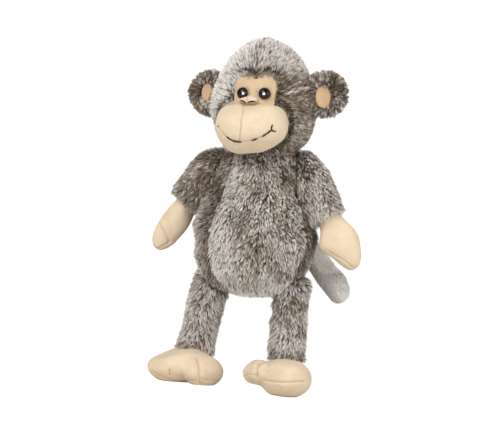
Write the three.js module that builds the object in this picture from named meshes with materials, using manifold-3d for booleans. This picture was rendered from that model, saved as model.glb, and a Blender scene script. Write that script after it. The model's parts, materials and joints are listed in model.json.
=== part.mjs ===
// A standing plush monkey, sewn from long-pile plush and short-pile velboa over loose fibre filling.
// Millimetres, +Z up, the face towards -Y, the toy's own left side towards +X, the soles at z = 0.
import * as THREE from "three";
import { mergeVertices } from "three/addons/utils/BufferGeometryUtils.js";
import Module from "manifold-3d";

const wasm = await Module();
wasm.setup();

// Fabrics and clearances
const PLUSH = 7; // long-pile plush, backing and pile together
const VELBOA = 2.4; // short-pile fabric of the face, hands, feet and ear fronts
const GAP = 0.3; // clearance between neighbouring pieces

// Torso
const TORSO_HEIGHT = 157; // underside to the closed top
const BELLY_RISE = 68; // underside to the widest girth
const BELLY_HALF_WIDTH = 65.5;
const BELLY_HALF_DEPTH = 55;
const BELLY_FORWARD = 3; // how far the belly hangs in front of the spine
const BELLY_TURN = 18; // degrees that the belly panel faces to the toy's left
const BELLY_PANEL_SPAN = 114; // degrees of the girth that the belly panel covers
const CHEST_HALF_WIDTH = 45.5;
const CHEST_HALF_DEPTH = 42;
const NECK_CUT = 5; // top of the torso trimmed flat to seat the head

// Head
const HEAD_HEIGHT = 121; // neck seam to the crown
const HEAD_RISE = 50; // neck seam to the widest girth
const HEAD_HALF_WIDTH = 56;
const HEAD_HALF_DEPTH = 54;
const HEAD_FORWARD = 2;
const NECK_HALF_WIDTH = 36;
const HEAD_TILT = 5; // degrees that the head leans to the toy's right

// Face
const MUZZLE_HALF_WIDTH = 39.5;
const MUZZLE_HEIGHT = 52;
const MUZZLE_HALF_DEPTH = 32;
const MUZZLE_FORWARD = 44; // middle of the muzzle in front of the spine
const MUZZLE_SEAM_SHIFT = -4.4; // middle seam from the middle of the head
const MUZZLE_RISE = 1; // neck seam to the underside of the muzzle
const MOUTH_RISE = 13; // underside of the muzzle to the mouth seam
const MOUTH_HALF_WIDTH = 30;
const SMILE_RISE = 12; // how far the mouth corners turn up
const MOUTH_THREAD = 1.6;
const PATCH_HALF_WIDTH = 24.5;
const PATCH_SHIFT = 3.2; // brows and eyes from the middle of the head
const PATCH_TOP = 83; // neck seam to the top of the brows
const PATCH_NOTCH = 7; // depth of the notch between the brows
const PATCH_BOTTOM = 42; // neck seam to the lower edge, behind the muzzle
const NOSE_HALF_WIDTH = 11;
const NOSE_HALF_HEIGHT = 5;
const NOSE_HALF_DEPTH = 8;
const NOSE_SHIFT = -1.8;
const NOSE_RISE = 54.5; // neck seam to the middle of the nose
const NOSTRIL_SPACING = 10;
const NOSTRIL_LENGTH = 6;
const NOSTRIL_SLOPE = 0.2; // how steeply each nostril falls towards the middle
const NOSTRIL_THREAD = 1.4;
const EYE_DIAMETER = 12;
const EYE_DOME = 5;
const EYE_SPACING = 23.2;
const EYE_RISE = 60.8;
const SHANK_DIAMETER = 4;
const SHANK_LENGTH = 11;
const WASHER_DIAMETER = 13;
const WASHER_THICKNESS = 2;

// Ears
const EAR_RADIUS = 24.5;
const EAR_THICKNESS = 15;
const EAR_RISE = 59.5; // neck seam to the middle of the ear
const EAR_SINK = 4; // how far the root fold is let into the head's pile
const LEFT_EAR_REACH = 8.5; // root fold to the middle of the ear disc
const RIGHT_EAR_REACH = 0.5;
const LEFT_LINING_HALF_WIDTH = 8.7;
const LEFT_LINING_HALF_HEIGHT = 10.8;
const LEFT_LINING_REACH = 7; // root fold to the middle of the lining
const LEFT_LINING_DROP = 3; // middle of the ear down to the middle of the lining
const RIGHT_LINING_HALF_WIDTH = 6.5;
const RIGHT_LINING_HALF_HEIGHT = 8.5;
const RIGHT_LINING_REACH = 6;
const RIGHT_LINING_DROP = 0;

// Arms and hands
const SHOULDER_DROP = 32; // closed top of the torso to the shoulder
const SHOULDER_INSET = 8; // shoulder middle out from its seam
const LEFT_ARM_SPREAD = 35; // degrees from straight down
const RIGHT_ARM_SPREAD = 32;
const SHOULDER_RADIUS = 23.5;
const SLEEVE_LENGTH = 47;
const HEM_RADIUS = 19.5;
const HAND_LENGTH = 59;
const HAND_HALF_WIDTH = 16;
const HAND_HALF_DEPTH = 11.5;
const WRIST_TUCK = 6; // how far the hand goes up inside the sleeve

// Legs and feet
const ANKLE_HEIGHT = 36;
const LEFT_ANKLE_OUT = 46.5; // ankle from the middle of the toy
const RIGHT_ANKLE_OUT = 56;
const ANKLE_BACK = 9;
const HIP_DROP = 82; // ankle seam to the hip
const HIP_RISE = 21; // torso underside to the hip
const HIP_SINK = 4; // how far the hip seam is set into the torso
const HIP_TILT = 42; // degrees that the hip seam faces down
const LEG_RADIUS = 20.5;
const LEG_SHIFT = 6; // leg middle inwards along the hip seam
const HEEL_LENGTH = 19; // ankle to the back of the heel
const TOE_LENGTH = 62; // ankle to the tip of the foot
const FOOT_HALF_WIDTH = 27;
const FOOT_HEIGHT = 39;
const FOOT_TOE_OUT = 20; // degrees
const SOLE_TRIM = 2; // roundness trimmed off under the foot
const BIG_TOE_HALF_WIDTH = 17;
const BIG_TOE_HALF_LENGTH = 29;
const LEFT_TOE_HEIGHT = 23;
const RIGHT_TOE_HEIGHT = 32;
const LEFT_TOE_LIFT = 12; // the toy's left big toe is turned up
const RIGHT_TOE_LIFT = 0;
const BIG_TOE_SIDE = 32; // foot middle to the middle of the big toe
const BIG_TOE_FORWARD = 20;
const ANKLE_OPENING = 11; // radius of the opening sewn to the leg

// Tail
const TAIL_RISE = 60; // torso underside to the tail
const TAIL_SINK = 4; // how far the tail seam is set into the back
const TAIL_RADIUS = 13.5;
const TAIL_PLUSH = 5; // the tail's shorter pile
const TAIL_REACH = 87; // sideways, root to tip
const TAIL_FALL = 57; // root down to tip

const TORSO_BASE = ANKLE_HEIGHT + HIP_DROP - HIP_RISE;
const NECK_Z = TORSO_BASE + TORSO_HEIGHT - NECK_CUT;
const REACH = 900; // larger than the toy, for cutting blocks
const HIDDEN_DETAIL = 0.65; // facets on a hidden face for each one on the outer face
const TORSO_FACETS = [22, 12]; // sides and rings
const HEAD_FACETS = [22, 12];
const MUZZLE_FACETS = [20, 10];
const LIMB_FACETS = [16, 9];
const HAND_FACETS = [14, 10];
const FOOT_FACETS = [18, 10];
const TOE_FACETS = [12, 7];
const TAIL_FACETS = [12, 14];
const UP = new THREE.Vector3(0, 0, 1);
const FRONT = new THREE.Vector3(0, -1, 0);
const BACK = new THREE.Vector3(0, 1, 0);

// Boolean solids
function solid(geometry) {
  const bare = geometry.clone();
  bare.deleteAttribute("normal");
  bare.deleteAttribute("uv");
  const merged = mergeVertices(bare, 1e-4);
  return new wasm.Manifold(
    new wasm.Mesh({
      numProp: 3,
      vertProperties: new Float32Array(merged.getAttribute("position").array),
      triVerts: new Uint32Array(merged.getIndex().array),
    }),
  );
}

function geometryOf(body) {
  const mesh = body.getMesh();
  const geometry = new THREE.BufferGeometry();
  geometry.setAttribute("position", new THREE.BufferAttribute(mesh.vertProperties, 3));
  geometry.setIndex(new THREE.BufferAttribute(mesh.triVerts, 1));
  geometry.computeVertexNormals();
  return geometry;
}

// The block that fills one side of a plane, the side its normal points to.
function beyond(point, normal) {
  const block = new THREE.BoxGeometry(REACH, REACH, REACH).translate(0, 0, REACH / 2);
  block.applyQuaternion(new THREE.Quaternion().setFromUnitVectors(UP, normal));
  return solid(block.translate(point.x, point.y, point.z));
}

// The frame of a limb: z runs along it, and y faces the front or another given way.
function limbFrame(origin, direction, facing = FRONT) {
  const along = direction.clone().normalize();
  const across = new THREE.Vector3().crossVectors(facing, along).normalize();
  const forward = new THREE.Vector3().crossVectors(along, across);
  return new THREE.Matrix4().makeBasis(across, forward, along).setPosition(origin);
}

// A padded outline from pole to pole. Each point is [height, half width, half depth, shift along y].
class Outline {
  constructor(points) {
    this.points = points;
    const girth = points.map(([z, width, depth]) => new THREE.Vector3(width, depth, z));
    const shift = points.map(([z, , , y = 0]) => new THREE.Vector3(0, y, z));
    this.girth = new THREE.CatmullRomCurve3(girth, false, "centripetal");
    this.shift = new THREE.CatmullRomCurve3(shift, false, "centripetal");
  }

  // The same outline a wall's depth further in.
  inset(depth) {
    const low = this.points[0][0];
    const high = this.points.at(-1)[0];
    const squeeze = (high - low - 2 * depth) / (high - low);
    const thinner = (radius) => Math.max(radius - depth, radius / 4);
    const moved = this.points.map(([z, width, deep, y]) => [
      low + depth + (z - low) * squeeze,
      thinner(width),
      thinner(deep),
      y,
    ]);
    moved[0].splice(1, 2, 0, 0);
    moved.at(-1).splice(1, 2, 0, 0);
    return new Outline(moved);
  }

  ring(share) {
    const { x: width, y: depth, z } = this.girth.getPoint(share);
    return { width, depth, z, y: this.shift.getPoint(share).y };
  }

  // The ring at a height, by halving.
  at(height) {
    let [low, high] = [0, 1];
    for (let step = 0; step < 30; step += 1) {
      const middle = (low + high) / 2;
      if (this.ring(middle).z < height) low = middle;
      else high = middle;
    }
    return this.ring(low);
  }

  // The surface point that faces the front at a place across and up, and its outward direction.
  front(x, z) {
    const { width, depth, y } = this.at(z);
    return new THREE.Vector3(x, y - depth * Math.sqrt(1 - (x / width) ** 2), z);
  }

  facing(x, z) {
    const step = 0.5;
    const across = this.front(x + step, z).sub(this.front(x - step, z));
    const up = this.front(x, z + step).sub(this.front(x, z - step));
    return across.cross(up).normalize();
  }

  form(sides, rings) {
    const places = [];
    const faces = [];
    const low = this.ring(0);
    places.push(0, low.y, low.z);
    for (let r = 1; r < rings; r += 1) {
      const { width, depth, z, y } = this.ring(r / rings);
      for (let s = 0; s < sides; s += 1) {
        const turn = (2 * Math.PI * (s + 0.5)) / sides;
        places.push(width * Math.cos(turn), y + depth * Math.sin(turn), z);
      }
    }
    const high = this.ring(1);
    places.push(0, high.y, high.z);
    const last = places.length / 3 - 1;
    for (let s = 0; s < sides; s += 1) {
      const next = (s + 1) % sides;
      faces.push(0, 1 + next, 1 + s);
      for (let r = 0; r < rings - 2; r += 1) {
        const row = 1 + r * sides;
        faces.push(row + s, row + next, row + sides + next);
        faces.push(row + s, row + sides + next, row + sides + s);
      }
      faces.push(last, last - sides + s, last - sides + next);
    }
    const geometry = new THREE.BufferGeometry();
    geometry.setAttribute("position", new THREE.Float32BufferAttribute(places, 3));
    return geometry.setIndex(faces);
  }
}

function disc(radius, from, to, sides = 16) {
  const geometry = new THREE.CylinderGeometry(radius, radius, to - from, sides);
  return geometry.rotateX(Math.PI / 2).translate(0, 0, (from + to) / 2);
}

function thread(points, diameter, steps) {
  const section = new THREE.Shape().absarc(0, 0, diameter / 2, 0, 2 * Math.PI);
  const path = new THREE.CatmullRomCurve3(points);
  return new THREE.ExtrudeGeometry(section, { steps, curveSegments: 3, extrudePath: path });
}

// A shell and the filling inside it, kept clear of it. Hidden faces are coarser than the outer ones.
function lining(outline, depth, sides, rings) {
  return solid(outline.inset(depth).form(Math.ceil(sides * HIDDEN_DETAIL), Math.ceil(rings * HIDDEN_DETAIL)));
}

function coverOf(outline, thickness, [sides, rings]) {
  const outer = solid(outline.form(sides, rings));
  const inner = lining(outline, thickness, sides, rings);
  const filling = lining(outline, thickness + GAP, sides, rings);
  return { outer, cover: outer.subtract(inner), filling };
}

// Materials
const cloth = (color) => new THREE.MeshStandardMaterial({ color, roughness: 0.95, metalness: 0 });
const plush = cloth("#84776c");
const tailPlush = cloth("#97918a");
const velboa = cloth("#dcb78f");
const fibre = cloth("#efece6");
const embroidery = cloth("#3b2a22");
const glossy = new THREE.MeshStandardMaterial({ color: "#140d0a", roughness: 0.12, metalness: 0 });
const washerPlastic = new THREE.MeshStandardMaterial({ color: "#e8e6e0", roughness: 0.5, metalness: 0 });

const monkey = new THREE.Group();
function addPiece(group, name, body, material) {
  const mesh = new THREE.Mesh(geometryOf(body), material);
  mesh.name = name;
  group.add(mesh);
}

// Torso outline, and the flat seats that the head, limbs and tail are sewn to
const torsoOutline = new Outline([
  [TORSO_BASE, 0, 0, -BELLY_FORWARD],
  [TORSO_BASE + BELLY_RISE * 0.03, BELLY_HALF_WIDTH * 0.36, BELLY_HALF_DEPTH * 0.4, -BELLY_FORWARD],
  [TORSO_BASE + BELLY_RISE * 0.2, BELLY_HALF_WIDTH * 0.66, BELLY_HALF_DEPTH * 0.7, -BELLY_FORWARD],
  [TORSO_BASE + BELLY_RISE * 0.45, BELLY_HALF_WIDTH * 0.88, BELLY_HALF_DEPTH * 0.9, -BELLY_FORWARD],
  [TORSO_BASE + BELLY_RISE, BELLY_HALF_WIDTH, BELLY_HALF_DEPTH, -BELLY_FORWARD],
  [TORSO_BASE + TORSO_HEIGHT * 0.79, CHEST_HALF_WIDTH, CHEST_HALF_DEPTH, 0],
  [TORSO_BASE + TORSO_HEIGHT * 0.93, CHEST_HALF_WIDTH * 0.9, CHEST_HALF_DEPTH * 0.84, 0],
  [TORSO_BASE + TORSO_HEIGHT * 0.985, CHEST_HALF_WIDTH * 0.7, CHEST_HALF_DEPTH * 0.62, 0],
  [TORSO_BASE + TORSO_HEIGHT, 0, 0, 0],
]);
const neck = new THREE.Vector3(0, 0, NECK_Z);
const headLean = new THREE.Quaternion().setFromAxisAngle(FRONT, THREE.MathUtils.degToRad(HEAD_TILT));

const shoulderZ = TORSO_BASE + TORSO_HEIGHT - SHOULDER_DROP;
const shoulderSeat = new THREE.Vector3(torsoOutline.at(shoulderZ).width, 0, shoulderZ);
const widest = new THREE.Vector3(BELLY_HALF_WIDTH, 0, TORSO_BASE + BELLY_RISE);
const sideSlope = widest.clone().sub(shoulderSeat).normalize();
const shoulderAxis = new THREE.Vector3().crossVectors(sideSlope, BACK).normalize();

const hipZ = TORSO_BASE + HIP_RISE;
const hipTilt = THREE.MathUtils.degToRad(HIP_TILT);
const hipAxis = new THREE.Vector3(Math.cos(hipTilt), 0, -Math.sin(hipTilt));
const hipSeat = new THREE.Vector3(torsoOutline.at(hipZ).width - HIP_SINK, 0, hipZ);

const tailZ = TORSO_BASE + TAIL_RISE;
const backRing = torsoOutline.at(tailZ);
const tailSeat = new THREE.Vector3(0, backRing.y + backRing.depth - TAIL_SINK, tailZ);

const mirrored = (v) => new THREE.Vector3(-v.x, v.y, v.z);

// The wedge of the torso that the belly panel covers, between its two side seams.
function bellyWedge(grow) {
  const spine = new THREE.Vector3(0, -BELLY_FORWARD, 0);
  let wedge = beyond(spine.clone().setZ(-grow), UP);
  for (const side of [1, -1]) {
    const turn = THREE.MathUtils.degToRad(BELLY_TURN + (side * BELLY_PANEL_SPAN) / 2);
    const outward = new THREE.Vector3(Math.cos(turn), Math.sin(turn), 0).multiplyScalar(side);
    wedge = wedge.subtract(beyond(spine.clone().addScaledVector(outward, grow), outward));
  }
  return wedge;
}

// Torso
function addTorso() {
  const group = new THREE.Group();
  const { cover, filling } = coverOf(torsoOutline, PLUSH, TORSO_FACETS);
  const seats = [
    [neck, UP],
    [tailSeat, BACK],
    [shoulderSeat, shoulderAxis],
    [mirrored(shoulderSeat), mirrored(shoulderAxis)],
    [hipSeat, hipAxis],
    [mirrored(hipSeat), mirrored(hipAxis)],
  ];
  let shell = cover;
  let stuffing = filling;
  for (const [point, normal] of seats) {
    shell = shell.subtract(beyond(point, normal));
    const inside = point.clone().addScaledVector(normal, -PLUSH / 2);
    stuffing = stuffing.subtract(beyond(inside, normal));
  }
  addPiece(group, "torso_front_panel", shell.intersect(bellyWedge(0)), plush);
  addPiece(group, "torso_back_panel", shell.subtract(bellyWedge(GAP)), plush);
  addPiece(group, "torso_filling", stuffing, fibre);
  monkey.add(group);
}

// Head and face, modelled upright from the neck seam
const headBase = GAP;
const headOutline = new Outline([
  [headBase - NECK_CUT, 0, 0, 0],
  [headBase - NECK_CUT * 0.6, NECK_HALF_WIDTH * 0.8, NECK_HALF_WIDTH * 0.78, 0],
  [headBase + HEAD_RISE * 0.22, HEAD_HALF_WIDTH * 0.83, HEAD_HALF_DEPTH * 0.8, -HEAD_FORWARD],
  [headBase + HEAD_RISE * 0.6, HEAD_HALF_WIDTH * 0.96, HEAD_HALF_DEPTH * 0.95, -HEAD_FORWARD],
  [headBase + HEAD_RISE, HEAD_HALF_WIDTH, HEAD_HALF_DEPTH, -HEAD_FORWARD],
  [headBase + HEAD_HEIGHT * 0.64, HEAD_HALF_WIDTH * 0.885, HEAD_HALF_DEPTH * 0.9, -HEAD_FORWARD],
  [headBase + HEAD_HEIGHT * 0.81, HEAD_HALF_WIDTH * 0.68, HEAD_HALF_DEPTH * 0.72, 0],
  [headBase + HEAD_HEIGHT * 0.94, HEAD_HALF_WIDTH * 0.38, HEAD_HALF_DEPTH * 0.41, 0],
  [headBase + HEAD_HEIGHT, 0, 0, 0],
]);

const muzzleBase = headBase + MUZZLE_RISE;
const muzzlePoint = (rise, width, depth) => [
  muzzleBase + MUZZLE_HEIGHT * rise,
  MUZZLE_HALF_WIDTH * width,
  MUZZLE_HALF_DEPTH * depth,
  -MUZZLE_FORWARD,
];
const muzzleOutline = new Outline([
  muzzlePoint(0, 0, 0),
  muzzlePoint(0.04, 0.45, 0.42),
  muzzlePoint(0.2, 0.86, 0.82),
  muzzlePoint(0.42, 1, 1),
  muzzlePoint(0.64, 1, 0.94),
  muzzlePoint(0.86, 0.88, 0.72),
  muzzlePoint(0.97, 0.6, 0.4),
  muzzlePoint(1, 0, 0),
]);

// The brow-shaped face opening, seen from the front.
function browBlock(grow) {
  const side = PATCH_HALF_WIDTH + grow;
  const top = headBase + PATCH_TOP + grow;
  const notch = headBase + PATCH_TOP - PATCH_NOTCH + grow;
  const bottom = headBase + PATCH_BOTTOM - grow;
  const cheek = (top + bottom) / 2;
  const shape = new THREE.Shape();
  shape.moveTo(0, bottom);
  shape.bezierCurveTo(side * 0.7, bottom, side * 0.9, bottom, side * 0.92, cheek);
  shape.bezierCurveTo(side * 1.1, cheek + side * 0.5, side * 0.85, top, side * 0.45, top);
  shape.quadraticCurveTo(side * 0.12, top, 0, notch);
  shape.quadraticCurveTo(-side * 0.12, top, -side * 0.45, top);
  shape.bezierCurveTo(-side * 0.85, top, -side * 1.1, cheek + side * 0.5, -side * 0.92, cheek);
  shape.bezierCurveTo(-side * 0.9, bottom, -side * 0.7, bottom, 0, bottom);
  const block = new THREE.ExtrudeGeometry(shape, { depth: REACH, bevelEnabled: false, curveSegments: 6 });
  return solid(block.rotateX(Math.PI / 2).translate(PATCH_SHIFT, 0, 0));
}

const patchOutline = headOutline.inset(PLUSH - VELBOA);
const eyePlaces = [
  ["left", PATCH_SHIFT + EYE_SPACING / 2],
  ["right", PATCH_SHIFT - EYE_SPACING / 2],
];
// The place of an eye: z of its own frame points out of the face.
function eyeFrame(x) {
  const z = headBase + EYE_RISE;
  const outward = patchOutline.facing(x, z);
  const turn = new THREE.Quaternion().setFromUnitVectors(UP, outward);
  const place = patchOutline.front(x, z).addScaledVector(outward, GAP);
  return new THREE.Matrix4().compose(place, turn, new THREE.Vector3(1, 1, 1));
}

function eyeBody() {
  const radius = EYE_DIAMETER / 2;
  const points = [new THREE.Vector2(0, -SHANK_LENGTH), new THREE.Vector2(SHANK_DIAMETER / 2, -SHANK_LENGTH)];
  points.push(new THREE.Vector2(SHANK_DIAMETER / 2, 0));
  const arcs = 6;
  for (let i = 0; i <= arcs; i += 1) {
    const turn = (Math.PI / 2) * (i / arcs);
    points.push(new THREE.Vector2(i === arcs ? 0 : radius * Math.cos(turn), EYE_DOME * Math.sin(turn)));
  }
  return new THREE.LatheGeometry(points, 16).rotateX(Math.PI / 2);
}

function washerBody() {
  const hole = SHANK_DIAMETER / 2 + GAP;
  const top = -VELBOA - 2 * GAP;
  const low = top - WASHER_THICKNESS;
  const ring = [
    new THREE.Vector2(hole, low),
    new THREE.Vector2(WASHER_DIAMETER / 2, low),
    new THREE.Vector2(WASHER_DIAMETER / 2, top),
    new THREE.Vector2(hole, top),
    new THREE.Vector2(hole, low),
  ];
  return new THREE.LatheGeometry(ring, 12).rotateX(Math.PI / 2);
}

function noseBody() {
  const place = patchOutline.front(NOSE_SHIFT, headBase + NOSE_RISE);
  const nose = new THREE.SphereGeometry(1, 16, 9).scale(NOSE_HALF_WIDTH, NOSE_HALF_DEPTH, NOSE_HALF_HEIGHT);
  return nose.translate(place.x, place.y, place.z);
}

function addHead(group) {
  const { cover, filling: stuffing } = coverOf(headOutline, PLUSH, HEAD_FACETS);
  const neckSeam = UP.clone().applyQuaternion(headLean.clone().invert());
  const belowNeck = beyond(neckSeam.clone().multiplyScalar(GAP), neckSeam.clone().negate());
  const muzzle = coverOf(muzzleOutline, VELBOA, MUZZLE_FACETS);
  const muzzleRoom = solid(muzzleOutline.inset(-GAP).form(...MUZZLE_FACETS));
  let plushOpening = browBlock(GAP).add(muzzleRoom);
  for (const [mirror, reach] of [[1, LEFT_EAR_REACH], [-1, RIGHT_EAR_REACH]]) {
    const across = new THREE.Vector3(mirror, 1, 1);
    const frame = new THREE.Matrix4().scale(across).multiply(earFrame(reach)).scale(across);
    plushOpening = plushOpening.add(solid(earFold(reach, GAP).applyMatrix4(frame)));
  }

  const shell = cover.subtract(belowNeck).subtract(plushOpening);
  const parting = new THREE.Vector3(GAP / 2, 0, 0);
  const left = new THREE.Vector3(1, 0, 0);
  const right = new THREE.Vector3(-1, 0, 0);
  addPiece(group, "head_left_panel", shell.subtract(beyond(parting, right)), plush);
  addPiece(group, "head_right_panel", shell.subtract(beyond(parting.clone().negate(), left)), plush);

  // The velboa patch lies on the filling, one plush thickness below the pile.
  const hollow = lining(headOutline, PLUSH, ...HEAD_FACETS);
  const patchSkin = solid(patchOutline.form(...HEAD_FACETS)).subtract(hollow);
  let patch = patchSkin.intersect(browBlock(0)).subtract(muzzleRoom);
  let filling = stuffing.subtract(belowNeck);
  let nose = solid(noseBody());
  for (const [side, x] of eyePlaces) {
    const frame = eyeFrame(x);
    const placed = (geometry) => solid(geometry.applyMatrix4(frame));
    addPiece(group, `${side}_eye`, placed(eyeBody()), glossy);
    addPiece(group, `${side}_eye_washer`, placed(washerBody()), washerPlastic);
    const shankRoom = placed(disc(SHANK_DIAMETER / 2 + GAP, -SHANK_LENGTH - GAP, EYE_DOME));
    const washerDepth = -VELBOA - 3 * GAP - WASHER_THICKNESS;
    const washerRoom = placed(disc(WASHER_DIAMETER / 2 + GAP, washerDepth, EYE_DOME));
    const washerSeat = placed(disc(WASHER_DIAMETER / 2 + GAP, washerDepth, -VELBOA - GAP));
    patch = patch.subtract(shankRoom).subtract(washerSeat);
    filling = filling.subtract(shankRoom).subtract(washerRoom);
    nose = nose.subtract(placed(disc(EYE_DIAMETER / 2 + GAP, -EYE_DOME, EYE_DOME + GAP)));
  }
  const noseRoom = solid(headOutline.inset(PLUSH - VELBOA - GAP).form(...HEAD_FACETS)).add(muzzleRoom);
  addPiece(group, "face_patch", patch, velboa);
  addPiece(group, "head_filling", filling, fibre);
  addPiece(group, "nose_pad", nose.subtract(noseRoom), velboa);

  // Two cheek panels meet at the middle seam, and the chin panel closes below the mouth.
  const mouthZ = muzzleBase + MOUTH_RISE;
  const mouthSeam = new THREE.Vector3(0, 0, mouthZ);
  const down = UP.clone().negate();
  const skin = muzzle.cover.subtract(hollow).subtract(belowNeck);
  const cheeks = skin.subtract(beyond(mouthSeam, down));
  const chinTop = new THREE.Vector3(0, 0, mouthZ - GAP);
  const seamLeft = new THREE.Vector3(MUZZLE_SEAM_SHIFT + GAP / 2, 0, 0);
  const seamRight = new THREE.Vector3(MUZZLE_SEAM_SHIFT - GAP / 2, 0, 0);
  addPiece(group, "muzzle_left_panel", cheeks.subtract(beyond(seamLeft, right)), velboa);
  addPiece(group, "muzzle_right_panel", cheeks.subtract(beyond(seamRight, left)), velboa);
  addPiece(group, "muzzle_chin_panel", skin.subtract(beyond(chinTop, UP)), velboa);
  addPiece(group, "muzzle_filling", muzzle.filling.subtract(hollow), fibre);

  const offset = (outline, x, z, diameter) =>
    outline.front(x, z).addScaledVector(outline.facing(x, z), diameter / 2 + GAP);
  const smile = [-1, -0.75, -0.5, -0.25, 0, 0.25, 0.5, 0.75, 1].map((share) => {
    const z = mouthZ + MOUTH_THREAD + SMILE_RISE * share * share;
    return offset(muzzleOutline, MOUTH_HALF_WIDTH * share, z, MOUTH_THREAD);
  });
  addPiece(group, "mouth_thread", solid(thread(smile, MOUTH_THREAD, 24)), embroidery);

  const noseMiddle = patchOutline.front(NOSE_SHIFT, headBase + NOSE_RISE);
  for (const [side, sign] of [["left", 1], ["right", -1]]) {
    const stitch = [-0.5, 0, 0.5].map((share) => {
      const x = sign * (NOSTRIL_SPACING / 2 + NOSTRIL_LENGTH * share);
      const rise = NOSTRIL_LENGTH * share * NOSTRIL_SLOPE;
      const flat = 1 - (x / NOSE_HALF_WIDTH) ** 2 - (rise / NOSE_HALF_HEIGHT) ** 2;
      const depth = NOSE_HALF_DEPTH * Math.sqrt(flat) + NOSTRIL_THREAD / 2 + 2 * GAP;
      return new THREE.Vector3(NOSE_SHIFT + x, noseMiddle.y - depth, noseMiddle.z + rise);
    });
    addPiece(group, `${side}_nostril_thread`, solid(thread(stitch, NOSTRIL_THREAD, 6)), embroidery);
  }
}

// The root fold of an ear lies along the side of the head: x points out of the head, z up along the fold.
const earHalf = EAR_THICKNESS / 2;
const earChord = (reach) => Math.sqrt(EAR_RADIUS ** 2 - reach ** 2) - earHalf;
function earFrame(reach) {
  const earZ = headBase + EAR_RISE;
  const chord = earChord(reach);
  const upper = new THREE.Vector3(headOutline.at(earZ + chord).width, 0, earZ + chord);
  const lower = new THREE.Vector3(headOutline.at(earZ - chord).width, 0, earZ - chord);
  const rise = upper.clone().sub(lower).normalize();
  const outward = new THREE.Vector3().crossVectors(rise, BACK).normalize().negate();
  let bulge = 0;
  for (let share = 0; share <= 1; share += 0.05) {
    const z = THREE.MathUtils.lerp(lower.z, upper.z, share);
    const side = new THREE.Vector3(headOutline.at(z).width, 0, z).sub(lower);
    bulge = Math.max(bulge, side.dot(outward));
  }
  const root = lower.clone().lerp(upper, 0.5).addScaledVector(outward, bulge + earHalf + GAP - EAR_SINK);
  root.setY(headOutline.at(earZ).y);
  return new THREE.Matrix4().makeBasis(outward, BACK, rise).setPosition(root);
}

function earFold(reach, grow) {
  return new THREE.CapsuleGeometry(earHalf + grow, 2 * earChord(reach), 3, 12).rotateX(Math.PI / 2);
}

// An ear: a thick plush disc beyond the root fold, with a lining let into its front.
function addEar(group, side, reach, lining) {
  const half = earHalf;
  const frame = earFrame(reach);
  const rim = [];
  const arcs = 7;
  for (let i = 0; i <= arcs; i += 1) {
    const turn = Math.PI * (i / arcs - 0.5);
    const reach = i === 0 || i === arcs ? 0 : EAR_RADIUS - half + half * Math.cos(turn);
    rim.push(new THREE.Vector2(reach, half * Math.sin(turn)));
  }
  const round = solid(new THREE.LatheGeometry(rim, 22).translate(reach, 0, 0));
  const behindRoot = beyond(new THREE.Vector3(0, 0, 0), new THREE.Vector3(-1, 0, 0));
  const disk = round.subtract(behindRoot).add(solid(earFold(reach, 0)));
  const oval = (grow, from, to) =>
    solid(
      new THREE.CylinderGeometry(1, 1, to - from, 18)
        .scale(lining.halfWidth + grow, 1, lining.halfHeight + grow)
        .translate(lining.reach, (from + to) / 2, -lining.drop),
    );
  const pocket = oval(GAP, -half - 1, -half + VELBOA + GAP);
  const place = (body) => solid(geometryOf(body).applyMatrix4(frame));
  addPiece(group, `${side}_ear`, place(disk.subtract(pocket)), plush);
  addPiece(group, `${side}_ear_lining`, place(oval(0, -half, -half + VELBOA)), velboa);
}

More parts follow.
